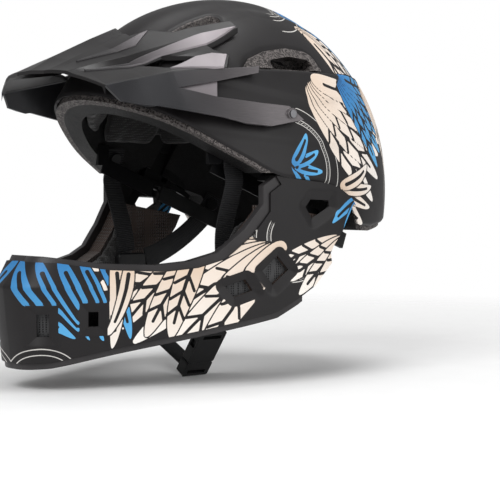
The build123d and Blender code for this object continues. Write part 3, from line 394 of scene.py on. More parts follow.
def linked(name, data):
    """Object that stands in the scene, from its data."""
    made = bpy.data.objects.new(name, data)
    bpy.context.scene.collection.objects.link(made)
    return made


def add_layer(mesh, key, values):
    """Float layer on the points of a mesh."""
    layer = mesh.attributes.new(key, "FLOAT", "POINT")
    layer.data.foreach_set("value", np.asarray(values, np.float32))


def coordinates(piece):
    """Places of the points of a piece."""
    points = np.zeros(len(piece.data.vertices) * 3)
    piece.data.vertices.foreach_get("co", points)
    return points.reshape(-1, 3)


def new_object(name, points, faces, layers):
    """Smooth mesh object with float layers on its points."""
    mesh = bpy.data.meshes.new(name)
    mesh.from_pydata([tuple(p) for p in points], [], [tuple(f) for f in faces])
    for key, values in layers.items():
        add_layer(mesh, key, values)
    mesh.shade_smooth()
    return linked(name, mesh)


def settle(piece, sharp=35):
    """Applies the modifiers of a piece and marks its sharp edges."""
    bpy.context.view_layer.update()
    graph = bpy.context.evaluated_depsgraph_get()
    mesh = bpy.data.meshes.new_from_object(piece.evaluated_get(graph))
    mesh.name = piece.name
    mesh.shade_smooth()
    mesh.set_sharp_from_angle(angle=radians(sharp))
    piece.modifiers.clear()
    piece.data = mesh
    return piece


def thicken(piece, wall):
    """Gives a skin its wall, inwards from its outer face."""
    solid = piece.modifiers.new("wall", "SOLIDIFY")
    solid.thickness = wall
    solid.offset = -1
    solid.use_even_offset = False
    return settle(piece)


def both_sides(points, faces):
    """Left half and its mirror image in one mesh. Points on the middle stay double."""
    mirrored = points * np.array([-1, 1, 1])
    turned = faces[:, ::-1] + len(points)
    return np.concatenate([points, mirrored]), np.concatenate([faces, turned])


# Materials

def add_node(tree, kind, values=None, **settings):
    """Shader node with its settings, constants and links."""
    made = tree.nodes.new(kind)
    for key, value in settings.items():
        setattr(made, key, value)
    for key, value in (values or {}).items():
        if isinstance(value, bpy.types.NodeSocket):
            tree.links.new(value, made.inputs[key])
        else:
            made.inputs[key].default_value = value
    return made


def rgba(colour):
    """Colour with full cover."""
    return (*colour, 1.0)


def brighter(colour):
    """The lighter tone of a surface whose colour varies softly."""
    return tuple(min(channel * tone_rise, 1) for channel in colour)


def mixed(tree, share, first, second):
    """Colour between two colours by a share."""
    node = add_node(tree, "ShaderNodeMix", data_type="RGBA")
    for socket, value in ((0, share), (6, first), (7, second)):
        if isinstance(value, bpy.types.NodeSocket):
            tree.links.new(value, node.inputs[socket])
        else:
            node.inputs[socket].default_value = value
    return node.outputs[2]


def ranged(tree, value, low, high, first=0.0, last=1.0):
    """Value mapped from one range to another."""
    values = {"Value": value, "From Min": low, "From Max": high, "To Min": first, "To Max": last}
    return add_node(tree, "ShaderNodeMapRange", values).outputs["Result"]


def base_material(name, roughness, grain=900.0, edge=0.0, shine=0.28):
    """Material with fine grain in its surface, uneven roughness and, where asked, rounded edges."""
    material = bpy.data.materials.new(name)
    material.use_nodes = True
    tree = material.node_tree
    shader = tree.nodes["Principled BSDF"]
    shader.inputs["Specular IOR Level"].default_value = shine
    place = add_node(tree, "ShaderNodeTexCoord").outputs["Object"]
    fine = add_node(tree, "ShaderNodeTexNoise", {"Vector": place, "Scale": grain, "Detail": 3.0})
    wide = {"Vector": place, "Scale": tone_scale, "Detail": 5.0}
    broad = add_node(tree, "ShaderNodeTexNoise", wide)
    rough = ranged(tree, broad.outputs["Fac"], 0.3, 0.7, roughness - 0.06, roughness + 0.06)
    tree.links.new(rough, shader.inputs["Roughness"])
    bump = add_node(
        tree, "ShaderNodeBump",
        {"Height": fine.outputs["Fac"], "Distance": grain_height, "Strength": 1.0},
    )
    if edge:
        bevel = add_node(tree, "ShaderNodeBevel", {"Radius": edge}, samples=4)
        tree.links.new(bevel.outputs["Normal"], bump.inputs["Normal"])
    tree.links.new(bump.outputs["Normal"], shader.inputs["Normal"])
    return material, tree, shader, place, broad.outputs["Fac"], bump


def plain_material(name, colour, roughness, metallic=0.0, **more):
    """One-colour material whose tone varies softly."""
    material, tree, shader, _, broad, _ = base_material(name, roughness, **more)
    tone = ranged(tree, broad, tone_low, tone_high)
    shade = mixed(tree, tone, rgba(colour), rgba(brighter(colour)))
    tree.links.new(shade, shader.inputs["Base Color"])
    shader.inputs["Metallic"].default_value = metallic
    return material


def painted_material(name, base, roughness):
    """Matte base with printed shapes, whose edges come from fields on the mesh."""
    material, tree, shader, _, broad, _ = base_material(name, roughness, grain=1400.0)

    def layer(key):
        """Value of a printed layer."""
        return add_node(tree, "ShaderNodeAttribute", attribute_name=key).outputs["Fac"]

    def step(value):
        """Sharp edge of a printed shape, where its field crosses zero."""
        return ranged(tree, value, -print_edge, print_edge)

    tone = layer("tone")
    uneven = ranged(tree, broad, tone_low, tone_high)
    colour = mixed(tree, uneven, rgba(base), rgba(brighter(base)))
    across = add_node(tree, "ShaderNodeMath", {0: layer("across")}, operation="ABSOLUTE")
    gap = across.outputs["Value"]
    drawn = ranged(tree, gap, line_half - print_edge, line_half + print_edge, 1.0, 0.0)
    both = {0: step(layer("line")), 1: drawn}
    shown = add_node(tree, "ShaderNodeMath", both, operation="MULTIPLY").outputs["Value"]
    colour = mixed(tree, shown, colour, rgba(thin_line))
    for key, first, last in (("light", warm_white, beige), ("blue", light_blue, deep_blue)):
        colour = mixed(tree, step(layer(key)), colour, mixed(tree, tone, rgba(first), rgba(last)))
    tree.links.new(colour, shader.inputs["Base Color"])
    return material


def foam_material():
    """Moulded beads with pale flecks near the outer face, and a dark lining towards the head."""
    material, tree, shader, place, _, bump = base_material("foam", 0.55)
    spread = {"Vector": place, "Scale": bead_scale}
    cells = add_node(tree, "ShaderNodeTexVoronoi", spread)
    walls = add_node(tree, "ShaderNodeTexVoronoi", spread, feature="DISTANCE_TO_EDGE")
    fleck = add_node(tree, "ShaderNodeSeparateColor", {"Color": cells.outputs["Color"]})
    share = ranged(tree, fleck.outputs["Red"], 0.15, 1.0)
    beads = mixed(tree, share, rgba(bead_dark), rgba(bead_pale))
    outer = add_node(tree, "ShaderNodeAttribute", attribute_name="outer").outputs["Fac"]
    colour = mixed(tree, ranged(tree, outer, 0.80, 0.82), rgba(lining), beads)
    tree.links.new(colour, shader.inputs["Base Color"])
    bump.inputs["Distance"].default_value = bead_height
    tree.links.new(ranged(tree, walls.outputs["Distance"], 0.0, 0.12), bump.inputs["Height"])
    return material


def fabric_material(name, colour, scale, height):
    """Knit with small dimples, with painted shade in the middle of each dimple."""
    material, tree, shader, place, _, bump = base_material(name, 0.85)
    holes = add_node(
        tree, "ShaderNodeTexVoronoi", {"Vector": place, "Scale": scale, "Randomness": 0.15}
    )
    tone = ranged(tree, holes.outputs["Distance"], 0.1, 0.5)
    # the middle of each dimple is painted darker: painted shade in the dimple
    dark = tuple(channel * 0.35 for channel in colour)
    tree.links.new(mixed(tree, tone, rgba(dark), rgba(colour)), shader.inputs["Base Color"])
    bump.inputs["Distance"].default_value = height
    tree.links.new(tone, bump.inputs["Height"])
    shader.inputs["Sheen Weight"].default_value = 0.25
    return material


def webbing_material():
    """Ribs across the strap, from the length that is kept on its points. Their grooves carry
    painted shade and their crests a painted highlight.
    """
    material, tree, shader, _, _, bump = base_material("webbing", 0.7)
    along = add_node(tree, "ShaderNodeAttribute", attribute_name="along").outputs["Fac"]
    scaled = {0: along, 1: 2 * pi / rib_pitch}
    turns = add_node(tree, "ShaderNodeMath", scaled, operation="MULTIPLY")
    wave = add_node(tree, "ShaderNodeMath", {0: turns.outputs[0]}, operation="SINE")
    rib = ranged(tree, wave.outputs[0], -1.0, 1.0)
    # painted shade in the grooves between ribs, painted highlight on the crests
    colour = mixed(tree, rib, rgba(web_groove_shade), rgba(web_crest_light))
    tree.links.new(colour, shader.inputs["Base Color"])
    bump.inputs["Distance"].default_value = rib_height
    tree.links.new(rib, bump.inputs["Height"])
    return material


def arm_material():
    """Brushed metallic grey paint with painted light on it: painted shade at the front and a
    painted highlight towards the pale grey rear.
    """
    material, tree, shader, place, _, _ = base_material("arm", 0.34, edge=0.0006, shine=0.5)
    y = add_node(tree, "ShaderNodeSeparateXYZ", {"Vector": place}).outputs["Y"]
    # the run from dark front to pale rear is painted shade and painted highlight, not a change of
    # paint
    share = ranged(tree, y, -0.10, -0.02)
    brushed = add_node(tree, "ShaderNodeMapping", {"Vector": place, "Scale": (60.0, 25.0, 900.0)})
    drawn_out = {"Vector": brushed.outputs["Vector"], "Detail": 4.0}
    streaks = add_node(tree, "ShaderNodeTexNoise", drawn_out)
    colour = mixed(tree, share, rgba(arm_shaded_front), rgba(arm_lit_rear))
    tone = ranged(tree, streaks.outputs["Fac"], 0.3, 0.7)
    dark = mixed(tree, 0.35, colour, rgba(arm_streak))
    tree.links.new(mixed(tree, tone, dark, colour), shader.inputs["Base Color"])
    shader.inputs["Metallic"].default_value = 0.55
    return material


def inlay_material():
    """Satin silver with painted light on it: painted shade towards the tip of the visor and a
    painted highlight towards the rear.
    """
    material, tree, shader, place, _, _ = base_material("inlay", 0.36, edge=0.0003, shine=0.5)
    y = add_node(tree, "ShaderNodeSeparateXYZ", {"Vector": place}).outputs["Y"]
    # the run from dark tip to silver rear is painted shade and painted highlight
    share = ranged(tree, y, -0.125, -0.045)
    colour = mixed(tree, share, rgba(inlay_shaded_front), rgba(inlay_lit_rear))
    tree.links.new(colour, shader.inputs["Base Color"])
    shader.inputs["Metallic"].default_value = 0.35
    return material


def mesh_material():
    """Perforated sheet: round holes painted dark, as painted shade in the holes."""
    material, tree, shader, place, _, bump = base_material("mesh", 0.5)
    holes = add_node(
        tree, "ShaderNodeTexVoronoi", {"Vector": place, "Scale": 620.0, "Randomness": 0.0}
    )
    tone = ranged(tree, holes.outputs["Distance"], 0.28, 0.36)
    # the holes are painted near black: painted shade
    colour = mixed(tree, tone, rgba(hole_shade), rgba(sheet_grey))
    tree.links.new(colour, shader.inputs["Base Color"])
    bump.inputs["Distance"].default_value = hole_height
    tree.links.new(tone, bump.inputs["Height"])
    return material


def floor_material():
    """Pale floor that fades into the background away from the object."""
    material, tree, shader, place, broad, _ = base_material("floor", 0.8)
    colour = mixed(tree, broad, rgba(floor_grey), rgba(floor_pale))
    tree.links.new(colour, shader.inputs["Base Color"])
    reach = add_node(tree, "ShaderNodeVectorMath", {0: place}, operation="LENGTH")
    share = ranged(tree, reach.outputs["Value"], fade_start, fade_end)
    clear = add_node(tree, "ShaderNodeBsdfTransparent").outputs["BSDF"]
    blend = add_node(tree, "ShaderNodeMixShader", {0: share, 1: shader.outputs["BSDF"], 2: clear})
    tree.links.new(blend.outputs["Shader"], tree.nodes["Material Output"].inputs["Surface"])
    return material


materials = {
    "shell": plain_material("shell", shell_colour, 0.46, grain=1400.0),
    "painted_shell": painted_material("painted_shell", shell_colour, 0.46),
    "painted_guard": painted_material("painted_guard", shell_colour, 0.46),
    "foam": foam_material(),
    "plastic": plain_material("plastic", (0.0075, 0.0075, 0.008), 0.42, edge=0.0005),
    "dark_plastic": plain_material(
        "dark_plastic", (0.004, 0.004, 0.0045), 0.5, edge=0.0005, shine=0.1
    ),
    "light_plastic": plain_material("light_plastic", (0.62, 0.61, 0.59), 0.4, edge=0.0004),
    "edge": plain_material("edge", (0.030, 0.028, 0.029), 0.40, edge=0.0014),
    "pad_fabric": fabric_material("pad_fabric", (0.012, 0.011, 0.011), 560.0, 0.0004),
    "brown_mesh": fabric_material("brown_mesh", (0.050, 0.031, 0.024), 420.0, 0.0007),
    "webbing": webbing_material(),
    "visor": plain_material("visor", (0.0105, 0.0095, 0.0100), 0.34, grain=1500.0, edge=0.0007),
    "arm": arm_material(),
    "inlay": inlay_material(),
    "metal": plain_material("metal", (0.20, 0.20, 0.21), 0.35, metallic=0.9, edge=0.0005),
    "mesh": mesh_material(),
}


def paint(piece, slot):
    """Gives a piece its slot and the material of the slot."""
    piece.data.materials.clear()
    piece.data.materials.append(materials[slot])
    return piece


other_looks = {"guard_foam": "brown_mesh", "strap_anchors": "plastic", "front_band": "dark_plastic"}
slots = {entry["node"]: entry["material_slot"] for entry in frame["record"]["subparts"]}
for name, cad in frame["nodes"].items():
    cad.data.materials.clear()
    cad.data.materials.append(materials[other_looks.get(name, slots[name])])


# Printed pattern: feathers in rows, later ones lie over earlier ones

def stroke(places, path, widths):
    """Field of a soft-ended stroke, and the share of its path and the side that places are at."""
    path = np.asarray(path, float)
    widths = np.asarray(widths, float)
    low = path.min(axis=0) - print_reach
    high = path.max(axis=0) + print_reach
    near = np.flatnonzero(((places > low) & (places < high)).all(axis=1))
    field = np.full(len(places), -print_reach)
    along = np.zeros(len(places))
    side = np.ones(len(places))
    if len(near):
        start = path[:-1]
        run = np.diff(path, axis=0)
        offset = places[near][:, None, :] - start[None, :, :]
        span = np.maximum((run * run).sum(axis=1), 1e-12)
        share = np.clip((offset * run).sum(axis=2) / span, 0, 1)
        gap = np.linalg.norm(offset - share[:, :, None] * run, axis=2)
        reach = widths[:-1] * (1 - share) + widths[1:] * share - gap
        rows = np.arange(len(near))
        best = reach.argmax(axis=1)
        field[near] = reach[rows, best]
        along[near] = (best + share[rows, best]) / (len(path) - 1)
        chosen = offset[rows, best]
        right = run[best, 0] * chosen[:, 1] < run[best, 1] * chosen[:, 0]
        side[near] = np.where(right, -1, 1)
    return field, along, side


def feather(root, turn, length, width, bend):
    """Path and widths of a curved feather from its root."""
    share = np.linspace(0, 1, feather_places)
    heading = radians(turn) + bend * share
    step = length / (len(share) - 1)
    path = np.cumsum(np.stack([np.cos(heading), np.sin(heading)], 1) * step, axis=0)
    path = path + np.asarray(root)
    widths = width / 2 * np.sqrt(np.clip(np.sin(pi * share ** 0.62), 0, 1))
    return path, widths


def print_layers(places, shapes, lines):
    """Layers of the printed pattern from its shapes in the order that they are laid down."""
    covered = np.full(len(places), -far)
    light = np.full(len(places), -far)
    blue = np.full(len(places), -far)
    tone = np.zeros(len(places))
    for colour, path, widths, (first, last) in reversed(shapes):
        field, along, _ = stroke(places, path, widths)
        shown = np.minimum(field - print_outline, -covered - print_outline)
        if colour == "light":
            light = np.maximum(light, shown)
        elif colour == "blue":
            blue = np.maximum(blue, shown)
        if colour != "gap":
            own = np.clip(along * last + (1 - along) * first, 0, 1)
            tone = np.where(shown > -print_outline, own, tone)
        covered = np.maximum(covered, field)
    line = np.full(len(places), -far)
    across = np.full(len(places), far)
    for path in lines:
        field, _, side = stroke(places, path, np.full(len(path), line_reach))
        across = np.where(field > line, side * (line_reach - field), across)
        line = np.maximum(line, field)
    line = np.minimum(line, -covered)
    return {"light": light, "blue": blue, "tone": tone, "line": line, "across": across}


def barbs(path, widths, width):
    """Short gaps on both sides of a quill, each a straight path."""
    made = []
    for side in (-1, 1):
        for place in barb_places:
            heading = path[place + 1] - path[place]
            heading = heading / np.linalg.norm(heading)
            across = np.array([-heading[1], heading[0]]) * side
            share = np.linspace(0, 1, 10)[:, None]
            tip = path[place] + across * widths[place] * 0.8 + heading * width * 0.45
            made.append(path[place] * (1 - share) + tip * share)
    return made


def fan_of_feathers(colour, root, turns, length, width, bend, tones=(0.75, 0.0)):
    """Feathers from about one root, spread over a range of headings, each with its quill."""
    made = []
    for number, turn in enumerate(turns):
        scale = 1.0 - 0.06 * (number % 3)
        start = (root[0] + 0.0018 * number, root[1] + 0.0011 * number)
        path, widths = feather(start, turn, length * scale, width, bend)
        made.append((colour, path, widths, tones))
        quill = path[quill_span]
        made.append(("gap", quill, np.linspace(*quill_widths, len(quill)), tones))
        for barb in barbs(path, widths, width):
            made.append(("gap", barb, np.full(len(barb), barb_width), tones))
    return made


def strands(colour, rows, tones=(0.9, 0.1)):
    """Tapered locks, each with a gap along its middle: root, heading, length, width, bend."""
    made = []
    for root, turn, length, width, bend in rows:
        path, widths = feather(root, turn, length, width, bend)
        made.append((colour, path, widths, tones))
        middle = path[lock_span]
        made.append(("gap", middle, np.linspace(*lock_widths, len(middle)), tones))
    return made


def arcs(root, radii, start, end):
    """Thin rings about a place."""
    turns = np.radians(np.linspace(start, end, 60))
    round_path = np.stack([np.cos(turns), np.sin(turns)], 1)
    return [np.asarray(root) + radius * round_path for radius in radii]


# Shells of the dome

def crown_reach(angles):
    """Distance of the crown from the ear axis at fan angles."""
    return crown_radius * spline(fan_angles, crown_shares, angles)


def dome_points(places, growth):
    """Points of the dome at (fan angle, angle across), grown by a length."""
    a = np.radians(places[:, 0])
    b = np.radians(places[:, 1])
    reach = (crown_reach(places[:, 0]) + growth) * np.cos(b)
    x = (half_width + growth) * np.sin(b)
    return np.stack([x, -reach * np.cos(a), reach * np.sin(a)], 1)


def rim_places():
    """Rim of the face opening in the side view."""
    return [fan_place(a, crown_radius * s) for a, s in zip(brow_angles, brow_shares)]


def shell_outline():
    """Closed side-view outline of everything above the rim."""
    nape = [fan_place(a, crown_radius * s) for a, s in zip(nape_angles, nape_shares)]
    brow = smooth_path(rim_places())
    above = [(beyond, nape[-1][1]), (beyond, beyond), (-beyond, beyond), (-beyond, brow[0][1])]
    return [tuple(p) for p in brow] + nape + above


def eyebrow_field(points):
    """Field of the eyebrow vent, a round-cornered arch over the seam in the side view."""
    arch = [(y, seam_height + rise) for y, rise in eyebrow_arch]
    foot = seam_height - eyebrow_lip
    arch = np.array(arch + [(arch[-1][0], foot), (arch[0][0], foot)])
    edges = np.roll(arch, -1, axis=0) - arch
    outward = np.stack([-edges[:, 1], edges[:, 0]], 1) / np.linalg.norm(edges, axis=1)[:, None]
    levels = (arch * outward).sum(axis=1) - eyebrow_corner
    corners = []
    for index in range(len(arch)):
        pair = np.array([outward[index - 1], outward[index]])
        corners.append(tuple(np.linalg.solve(pair, [levels[index - 1], levels[index]])))
    return outline_field(points[:, 1:], corners) + eyebrow_corner


def slot_fields(points):
    """Largest field of the long slots and the outlets at the back."""
    best = np.full(len(points), -far)
    plan = np.stack([np.abs(points[:, 0]), points[:, 1]], 1)
    for place in slot_places:
        field = slot_field(plan, (place, slot_middle), slot_length, slot_width)
        best = np.maximum(best, np.where(points[:, 2] > seam_height, field, -far))
    rear = slot_field(
        np.stack([np.abs(points[:, 0]), points[:, 2]], 1),
        (rear_slot_place, rear_slot_level), rear_slot_height, rear_slot_width,
    )
    return np.maximum(best, np.where(points[:, 1] > 0, rear, -far))


def soft_fold(points, line, height, width):
    """Height of a soft step that falls away under a line of the side view."""
    line = np.asarray(line)
    level = np.interp(points[:, 1], line[:, 0], line[:, 1])
    start = eased((points[:, 1] - line[0, 0]) / fold_fade)
    end = eased((line[-1, 0] - points[:, 1]) / fold_fade)
    return -height * eased(0.5 - (points[:, 2] - level) / width) * (start * end)


def lip(field, width, depth):
    """Depth of a rounded lip round an opening, from the field of the opening."""
    return -depth * eased(1 + field / width) ** 2


def dome_shell(name, growth, keep, shape, step, layers):
    """Shell on the dome: trimmed by fields, folded by a shape, with its printed layers."""
    across = np.arange(-dome_side, dome_side + 0.01, step)
    places, faces = grid(np.arange(*dome_turns, step), across)
    for field in keep:
        places, faces = clip(places, faces, field(dome_points(places, growth)))
    flat = dome_points(places, growth)
    outwards = dome_points(places, growth + growth_probe) - flat
    points = flat + outwards * (shape(flat)[:, None] / growth_probe)
    return thicken(new_object(name, points, faces[:, ::-1], layers(flat)), shell_wall)


crown_folds = [
    [(-0.110, 0.1230), (-0.060, 0.1480), (0.000, 0.1640), (0.070, 0.1560)],
    [(-0.100, 0.1160), (-0.055, 0.1330), (-0.035, 0.1400)],
]
wrap_folds = [
    [(-0.125, 0.0820), (-0.0785, 0.0743), (-0.0471, 0.0698), (-0.0141, 0.0668), (0.060, 0.0640)],
    [(-0.110, 0.1160), (-0.0584, 0.1098), (-0.0296, 0.1035), (0.0200, 0.0960), (0.060, 0.1000)],
]


def crown_shape(points):
    """Height of the crown over the plain dome: lips, valleys and folds."""
    total = lip(slot_fields(points), *slot_lip) + lip(eyebrow_field(points), *arch_lip)
    valley = np.exp(-((np.abs(points[:, 0]) - valley_place) / valley_width) ** 2)
    ends = eased((points[:, 1] - valley_front) / valley_front_ease)
    ends = ends * eased((valley_rear - points[:, 1]) / valley_rear_ease)
    total = total - valley_depth * valley * ends
    return total + sum(soft_fold(points, fold, *crown_fold) for fold in crown_folds)


def wrap_shape(points):
    """Height of the wrap shell over the plain dome: folds and lips."""
    total = sum(soft_fold(points, fold, *wrap_fold) for fold in wrap_folds)
    edge = np.minimum(seam_height - points[:, 2], outline_field(points[:, 1:], rim_outline))
    return total + lip(-edge, *edge_lip) + lip(slot_fields(points), *outlet_lip)


def crown_print(points):
    """Pattern on the rear of the crown, in the plan view from the middle outwards."""
    places = np.stack([points[:, 1], np.abs(points[:, 0])], 1)
    shapes = fan_of_feathers(
        "blue", (0.034, 0.004), range(-6, 62, 11), 0.088, 0.014, 0.35, (1.0, 0.0)
    )
    shapes += fan_of_feathers("light", (0.040, 0.046), range(6, 50, 12), 0.060, 0.012, 0.25)
    lines = arcs((0.020, 0.020), [0.016, 0.020, 0.024, 0.034], -80, 90)
    return print_layers(places, shapes, lines)


def wrap_places(points):
    """Places on the unrolled side: length round the helmet from the ear, and height."""
    turn = np.arctan2(points[:, 1] / wrap_half_length, np.abs(points[:, 0]) / half_width)
    return np.stack([turn * wrap_turn_radius, points[:, 2]], 1)


def wrap_print(points):
    """Pattern on the wrap shell, in its unrolled side."""
    places = wrap_places(points)
    shapes = fan_of_feathers("light", (0.016, 0.108), range(-74, -16, 11), 0.098, 0.019, 0.55)
    shapes += fan_of_feathers(
        "blue", (0.060, 0.112), range(-84, -10, 13), 0.066, 0.015, 0.50, (1.0, 0.1)
    )
    shapes += fan_of_feathers("light", (0.104, 0.108), range(-88, -24, 13), 0.088, 0.018, 0.45)
    small = [((-0.012, 0.052), -60 + 34 * k, 0.026, 0.009, 0.5) for k in range(4)]
    shapes += strands("blue", small, (0.8, 0.0))
    low = [((0.030, 0.036), -70 + 26 * k, 0.036, 0.010, 0.6) for k in range(4)]
    shapes += strands("light", low)
    lines = arcs((-0.012, 0.052), [0.030, 0.033, 0.041], -70, 75)
    lines += arcs((0.150, 0.030), [0.030, 0.034, 0.038, 0.050], 90, 260)
    return print_layers(places, shapes, lines)


rim_outline = shell_outline()
grid_step = 0.45

crown = dome_shell(
    "crown_skin", 0.0,
    [
        lambda p: p[:, 2] - seam_height - seam_gap,
        lambda p: -slot_fields(p),
        lambda p: -eyebrow_field(p),
    ],
    crown_shape, grid_step, crown_print,
)
paint(crown, "painted_shell")
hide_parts("crown_shell")
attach(crown, "helmet")


def pin_field(points):
    """Distance outside the holes of the visor pins."""
    return np.hypot(points[:, 1] - pivot_y, points[:, 2] - pivot_z) - pivot_hole


wrap = dome_shell(
    "wrap_skin", wrap_step,
    [
        lambda p: seam_height - p[:, 2],
        lambda p: outline_field(p[:, 1:], rim_outline),
        lambda p: -slot_fields(p),
        pin_field,
    ],
    wrap_shape, grid_step, wrap_print,
)
paint(wrap, "painted_shell")
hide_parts("wrap_shell")
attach(wrap, "helmet")


# Chin guard skin

def guard_points(places, growth=0.0):
    """Points of the left half of the guard at (station, height)."""
    stations = np.arange(len(guard_angles))
    plan = np.array(guard_plan_shares) * [guard_half, -guard_reach]
    plan = spline(stations, plan, places[:, 0])
    turn = np.radians(spline(stations, guard_angles, places[:, 0]))
    bulges = guard_bulge * spline(stations, guard_bulge_shares, places[:, 0])
    levels = guard_drop * np.array(guard_level_shares[::-1])
    k = np.clip(np.searchsorted(levels, places[:, 1]) - 1, 0, len(levels) - 2)
    share = (places[:, 1] - levels[k]) / (levels[k + 1] - levels[k])
    rows = np.arange(len(places))
    bulges = bulges[:, ::-1]
    out = bulges[rows, k] * (1 - share) + bulges[rows, k + 1] * share + growth
    x = plan[:, 0] + np.sin(turn) * out
    y = plan[:, 1] - np.cos(turn) * out
    return np.stack([x, y, places[:, 1]], 1)


def slid(place, length):
    """Side-view place after a slide of the guard along its tongues."""
    return (
        place[0] - length * sin(radians(slide_lean)),
        place[1] - length * cos(radians(slide_lean)),
    )


def guard_outline(inset, lift):
    """Closed side-view outline of the guard, lowered under its bead and lifted over its trim."""
    top = [(-guard_reach * y + inset, guard_drop * z - inset) for y, z in guard_top_shares]
    rim = smooth_path([slid(place, rim_clearance) for place in rim_places()[rim_start:]])
    bottom = [(-guard_reach * y, guard_drop * z + lift) for y, z in guard_bottom_shares]
    return top + [tuple(p) for p in rim] + bottom[::-1]


def guard_vent_field(points):
    """Largest field of the vents of the guard."""
    side = points[:, 1:]
    best = np.full(len(points), -far)
    for shares in side_vent_shares + [ear_vent_shares]:
        outline = [(-guard_reach * y, guard_drop * z) for y, z in shares]
        best = np.maximum(best, outline_field(side, outline))
    for (x_share, y_share), angle, level_share, width, height in front_vents:
        turn = radians(angle)
        x = points[:, 0] - guard_half * x_share
        y = points[:, 1] + guard_reach * y_share
        along = np.abs(x * cos(turn) + y * sin(turn)) - width / 2
        up = np.abs(points[:, 2] - guard_drop * level_share) - height / 2
        best = np.maximum(best, -np.maximum(along, up))
    return best


def guard_vent_frames(points):
    """Depth of the sunk frames round the vents."""
    field = guard_vent_field(points)
    return -bevel_depth * np.clip(1 + field / bevel_width, 0, 1)


def guard_length(stations):
    """Length round the guard from its middle."""
    dense = np.linspace(0, len(guard_angles) - 1, 400)
    plan = np.array(guard_plan_shares) * [guard_half, -guard_reach]
    plan = spline(np.arange(len(guard_angles)), plan, dense)
    steps = np.linalg.norm(np.diff(plan, axis=0), axis=1)
    return np.interp(stations, dense, np.concatenate([[0], np.cumsum(steps)]))


def guard_print(places):
    """Pattern on the guard, in its unrolled side: length from the middle, and height."""
    flat = np.stack([guard_length(places[:, 0]), places[:, 1]], 1)
    shapes = fan_of_feathers("light", (0.180, -0.010), range(174, 230, 10), 0.122, 0.021, 0.26)
    shapes += fan_of_feathers(
        "light", (0.118, -0.013), range(178, 246, 13), 0.072, 0.018, 0.28, (1.0, 0.2)
    )
    for k in range(5):
        width = 0.0105 - 0.002 * (k % 2)
        root = (0.003 + 0.0135 * k, -0.014)
        shapes += strands("blue", [(root, -76 + 5 * k, 0.066 - 0.002 * k, width, 0.75 - 0.3 * k)])
    shapes += strands("light", [
        ((0.068, -0.014), -84, 0.060, 0.012, -0.3), ((0.078, -0.016), -96, 0.052, 0.010, -0.4),
    ])
    shapes += fan_of_feathers("light", (0.246, -0.004), range(186, 240, 12), 0.070, 0.015, 0.30)
    shapes += strands("blue", [((0.262, 0.028), 200 + 24 * k, 0.036, 0.009, 0.4) for k in range(3)])
    lines = arcs((0.196, 0.000), [0.018, 0.021, 0.029, 0.032], 150, 330)
    lines += arcs((0.020, -0.100), [0.022, 0.026], 30, 150)
    layers = print_layers(flat, shapes, lines)
    outside = -vent_frame - guard_vent_field(guard_points(places))
    for key in ("light", "blue", "line"):
        layers[key] = np.minimum(layers[key], outside)
    return layers


guard_step = 0.0007
places, faces = grid(
    np.linspace(0, len(guard_angles) - 1, int(guard_round / guard_step)),
    np.arange(
        guard_drop * guard_level_shares[-1], guard_drop * guard_level_shares[0], guard_step
    ),
)
inner_outline = guard_outline(guard_bead_inset, guard_trim_height)
places, faces = clip(places, faces, outline_field(guard_points(places)[:, 1:], inner_outline))
places, faces = clip(places, faces, -guard_vent_field(guard_points(places)))
flat = guard_points(places)
sunk = guard_vent_frames(flat)
points, sided = both_sides(guard_points(places, sunk), faces)
layers = {key: np.tile(values, 2) for key, values in guard_print(places).items()}
guard = new_object("guard_skin", points, sided[:, ::-1], layers)
weld = guard.modifiers.new("middle", "WELD")
weld.merge_threshold = weld_distance
settle(guard)
thicken(guard, guard_wall)
paint(guard, "painted_guard")
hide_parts("guard_shell")
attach(guard, "guard")


# Foam: a copy of the part's solid that knows how near each point is to the outer face

def foam_skin(node, body):
    """Copy of a foam solid with the layer that tells its beads from its lining."""
    made = linked(node + "_beads", frame["nodes"][node].data.copy())
    points = coordinates(made)
    angle = np.degrees(np.arctan2(points[:, 2], -points[:, 1]))
    reach = crown_reach(np.clip(angle, fan_angles[0], fan_angles[-1]))
    size = np.hypot(points[:, 0] / half_width, np.hypot(points[:, 1], points[:, 2]) / reach)
    depth = (1 - size) * half_width - liner_start
    outer = np.where(points[:, 2] > beads_level, 1, 1 - depth / liner_wall)
    add_layer(made.data, "outer", outer)
    paint(made, "foam")
    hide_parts(node)
    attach(made, body)


foam_skin("foam_liner", "helmet")


# Cushions: the plain solids, remeshed and blown up a little inside their covers

def cushion(node, body):
    """Cloth cushion from a plain solid of the part."""
    made = linked(node + "_cover", frame["nodes"][node].data.copy())
    remesh = made.modifiers.new("even", "REMESH")
    remesh.mode = "VOXEL"
    remesh.voxel_size = cushion_voxel
    settle(made)
    rest = coordinates(made)
    cloth = made.modifiers.new("cover", "CLOTH")
    cloth.settings.use_pressure = True
    cloth.settings.uniform_pressure_force = cushion_pressure
    cloth.settings.effector_weights.gravity = 0
    cloth.settings.tension_stiffness = cushion_stiffness
    cloth.point_cache.frame_start = 1
    cloth.point_cache.frame_end = cushion_frames
    for number in range(1, cushion_frames + 1):
        bpy.context.scene.frame_set(number)
    settle(made)
    bpy.context.scene.frame_set(1)
    change = coordinates(made) - rest
    size = np.linalg.norm(change, axis=1, keepdims=True)
    change *= np.minimum(1, cushion_swell / np.maximum(size, 1e-9))
    made.data.vertices.foreach_set("co", (rest + change).ravel())
    made.data.update()
    smooth = made.modifiers.new("soft", "SUBSURF")
    smooth.levels = 1
    smooth.render_levels = 1
    settle(made, sharp=180)
    paint(made, "pad_fabric")
    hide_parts(node)
    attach(made, body)


for node in ("brow_pad", "crown_pads", "side_pads_left", "side_pads_right"):
    cushion(node, "helmet")
for node in ("cheek_pad_left", "cheek_pad_right"):
    cushion(node, "guard")


# Straps

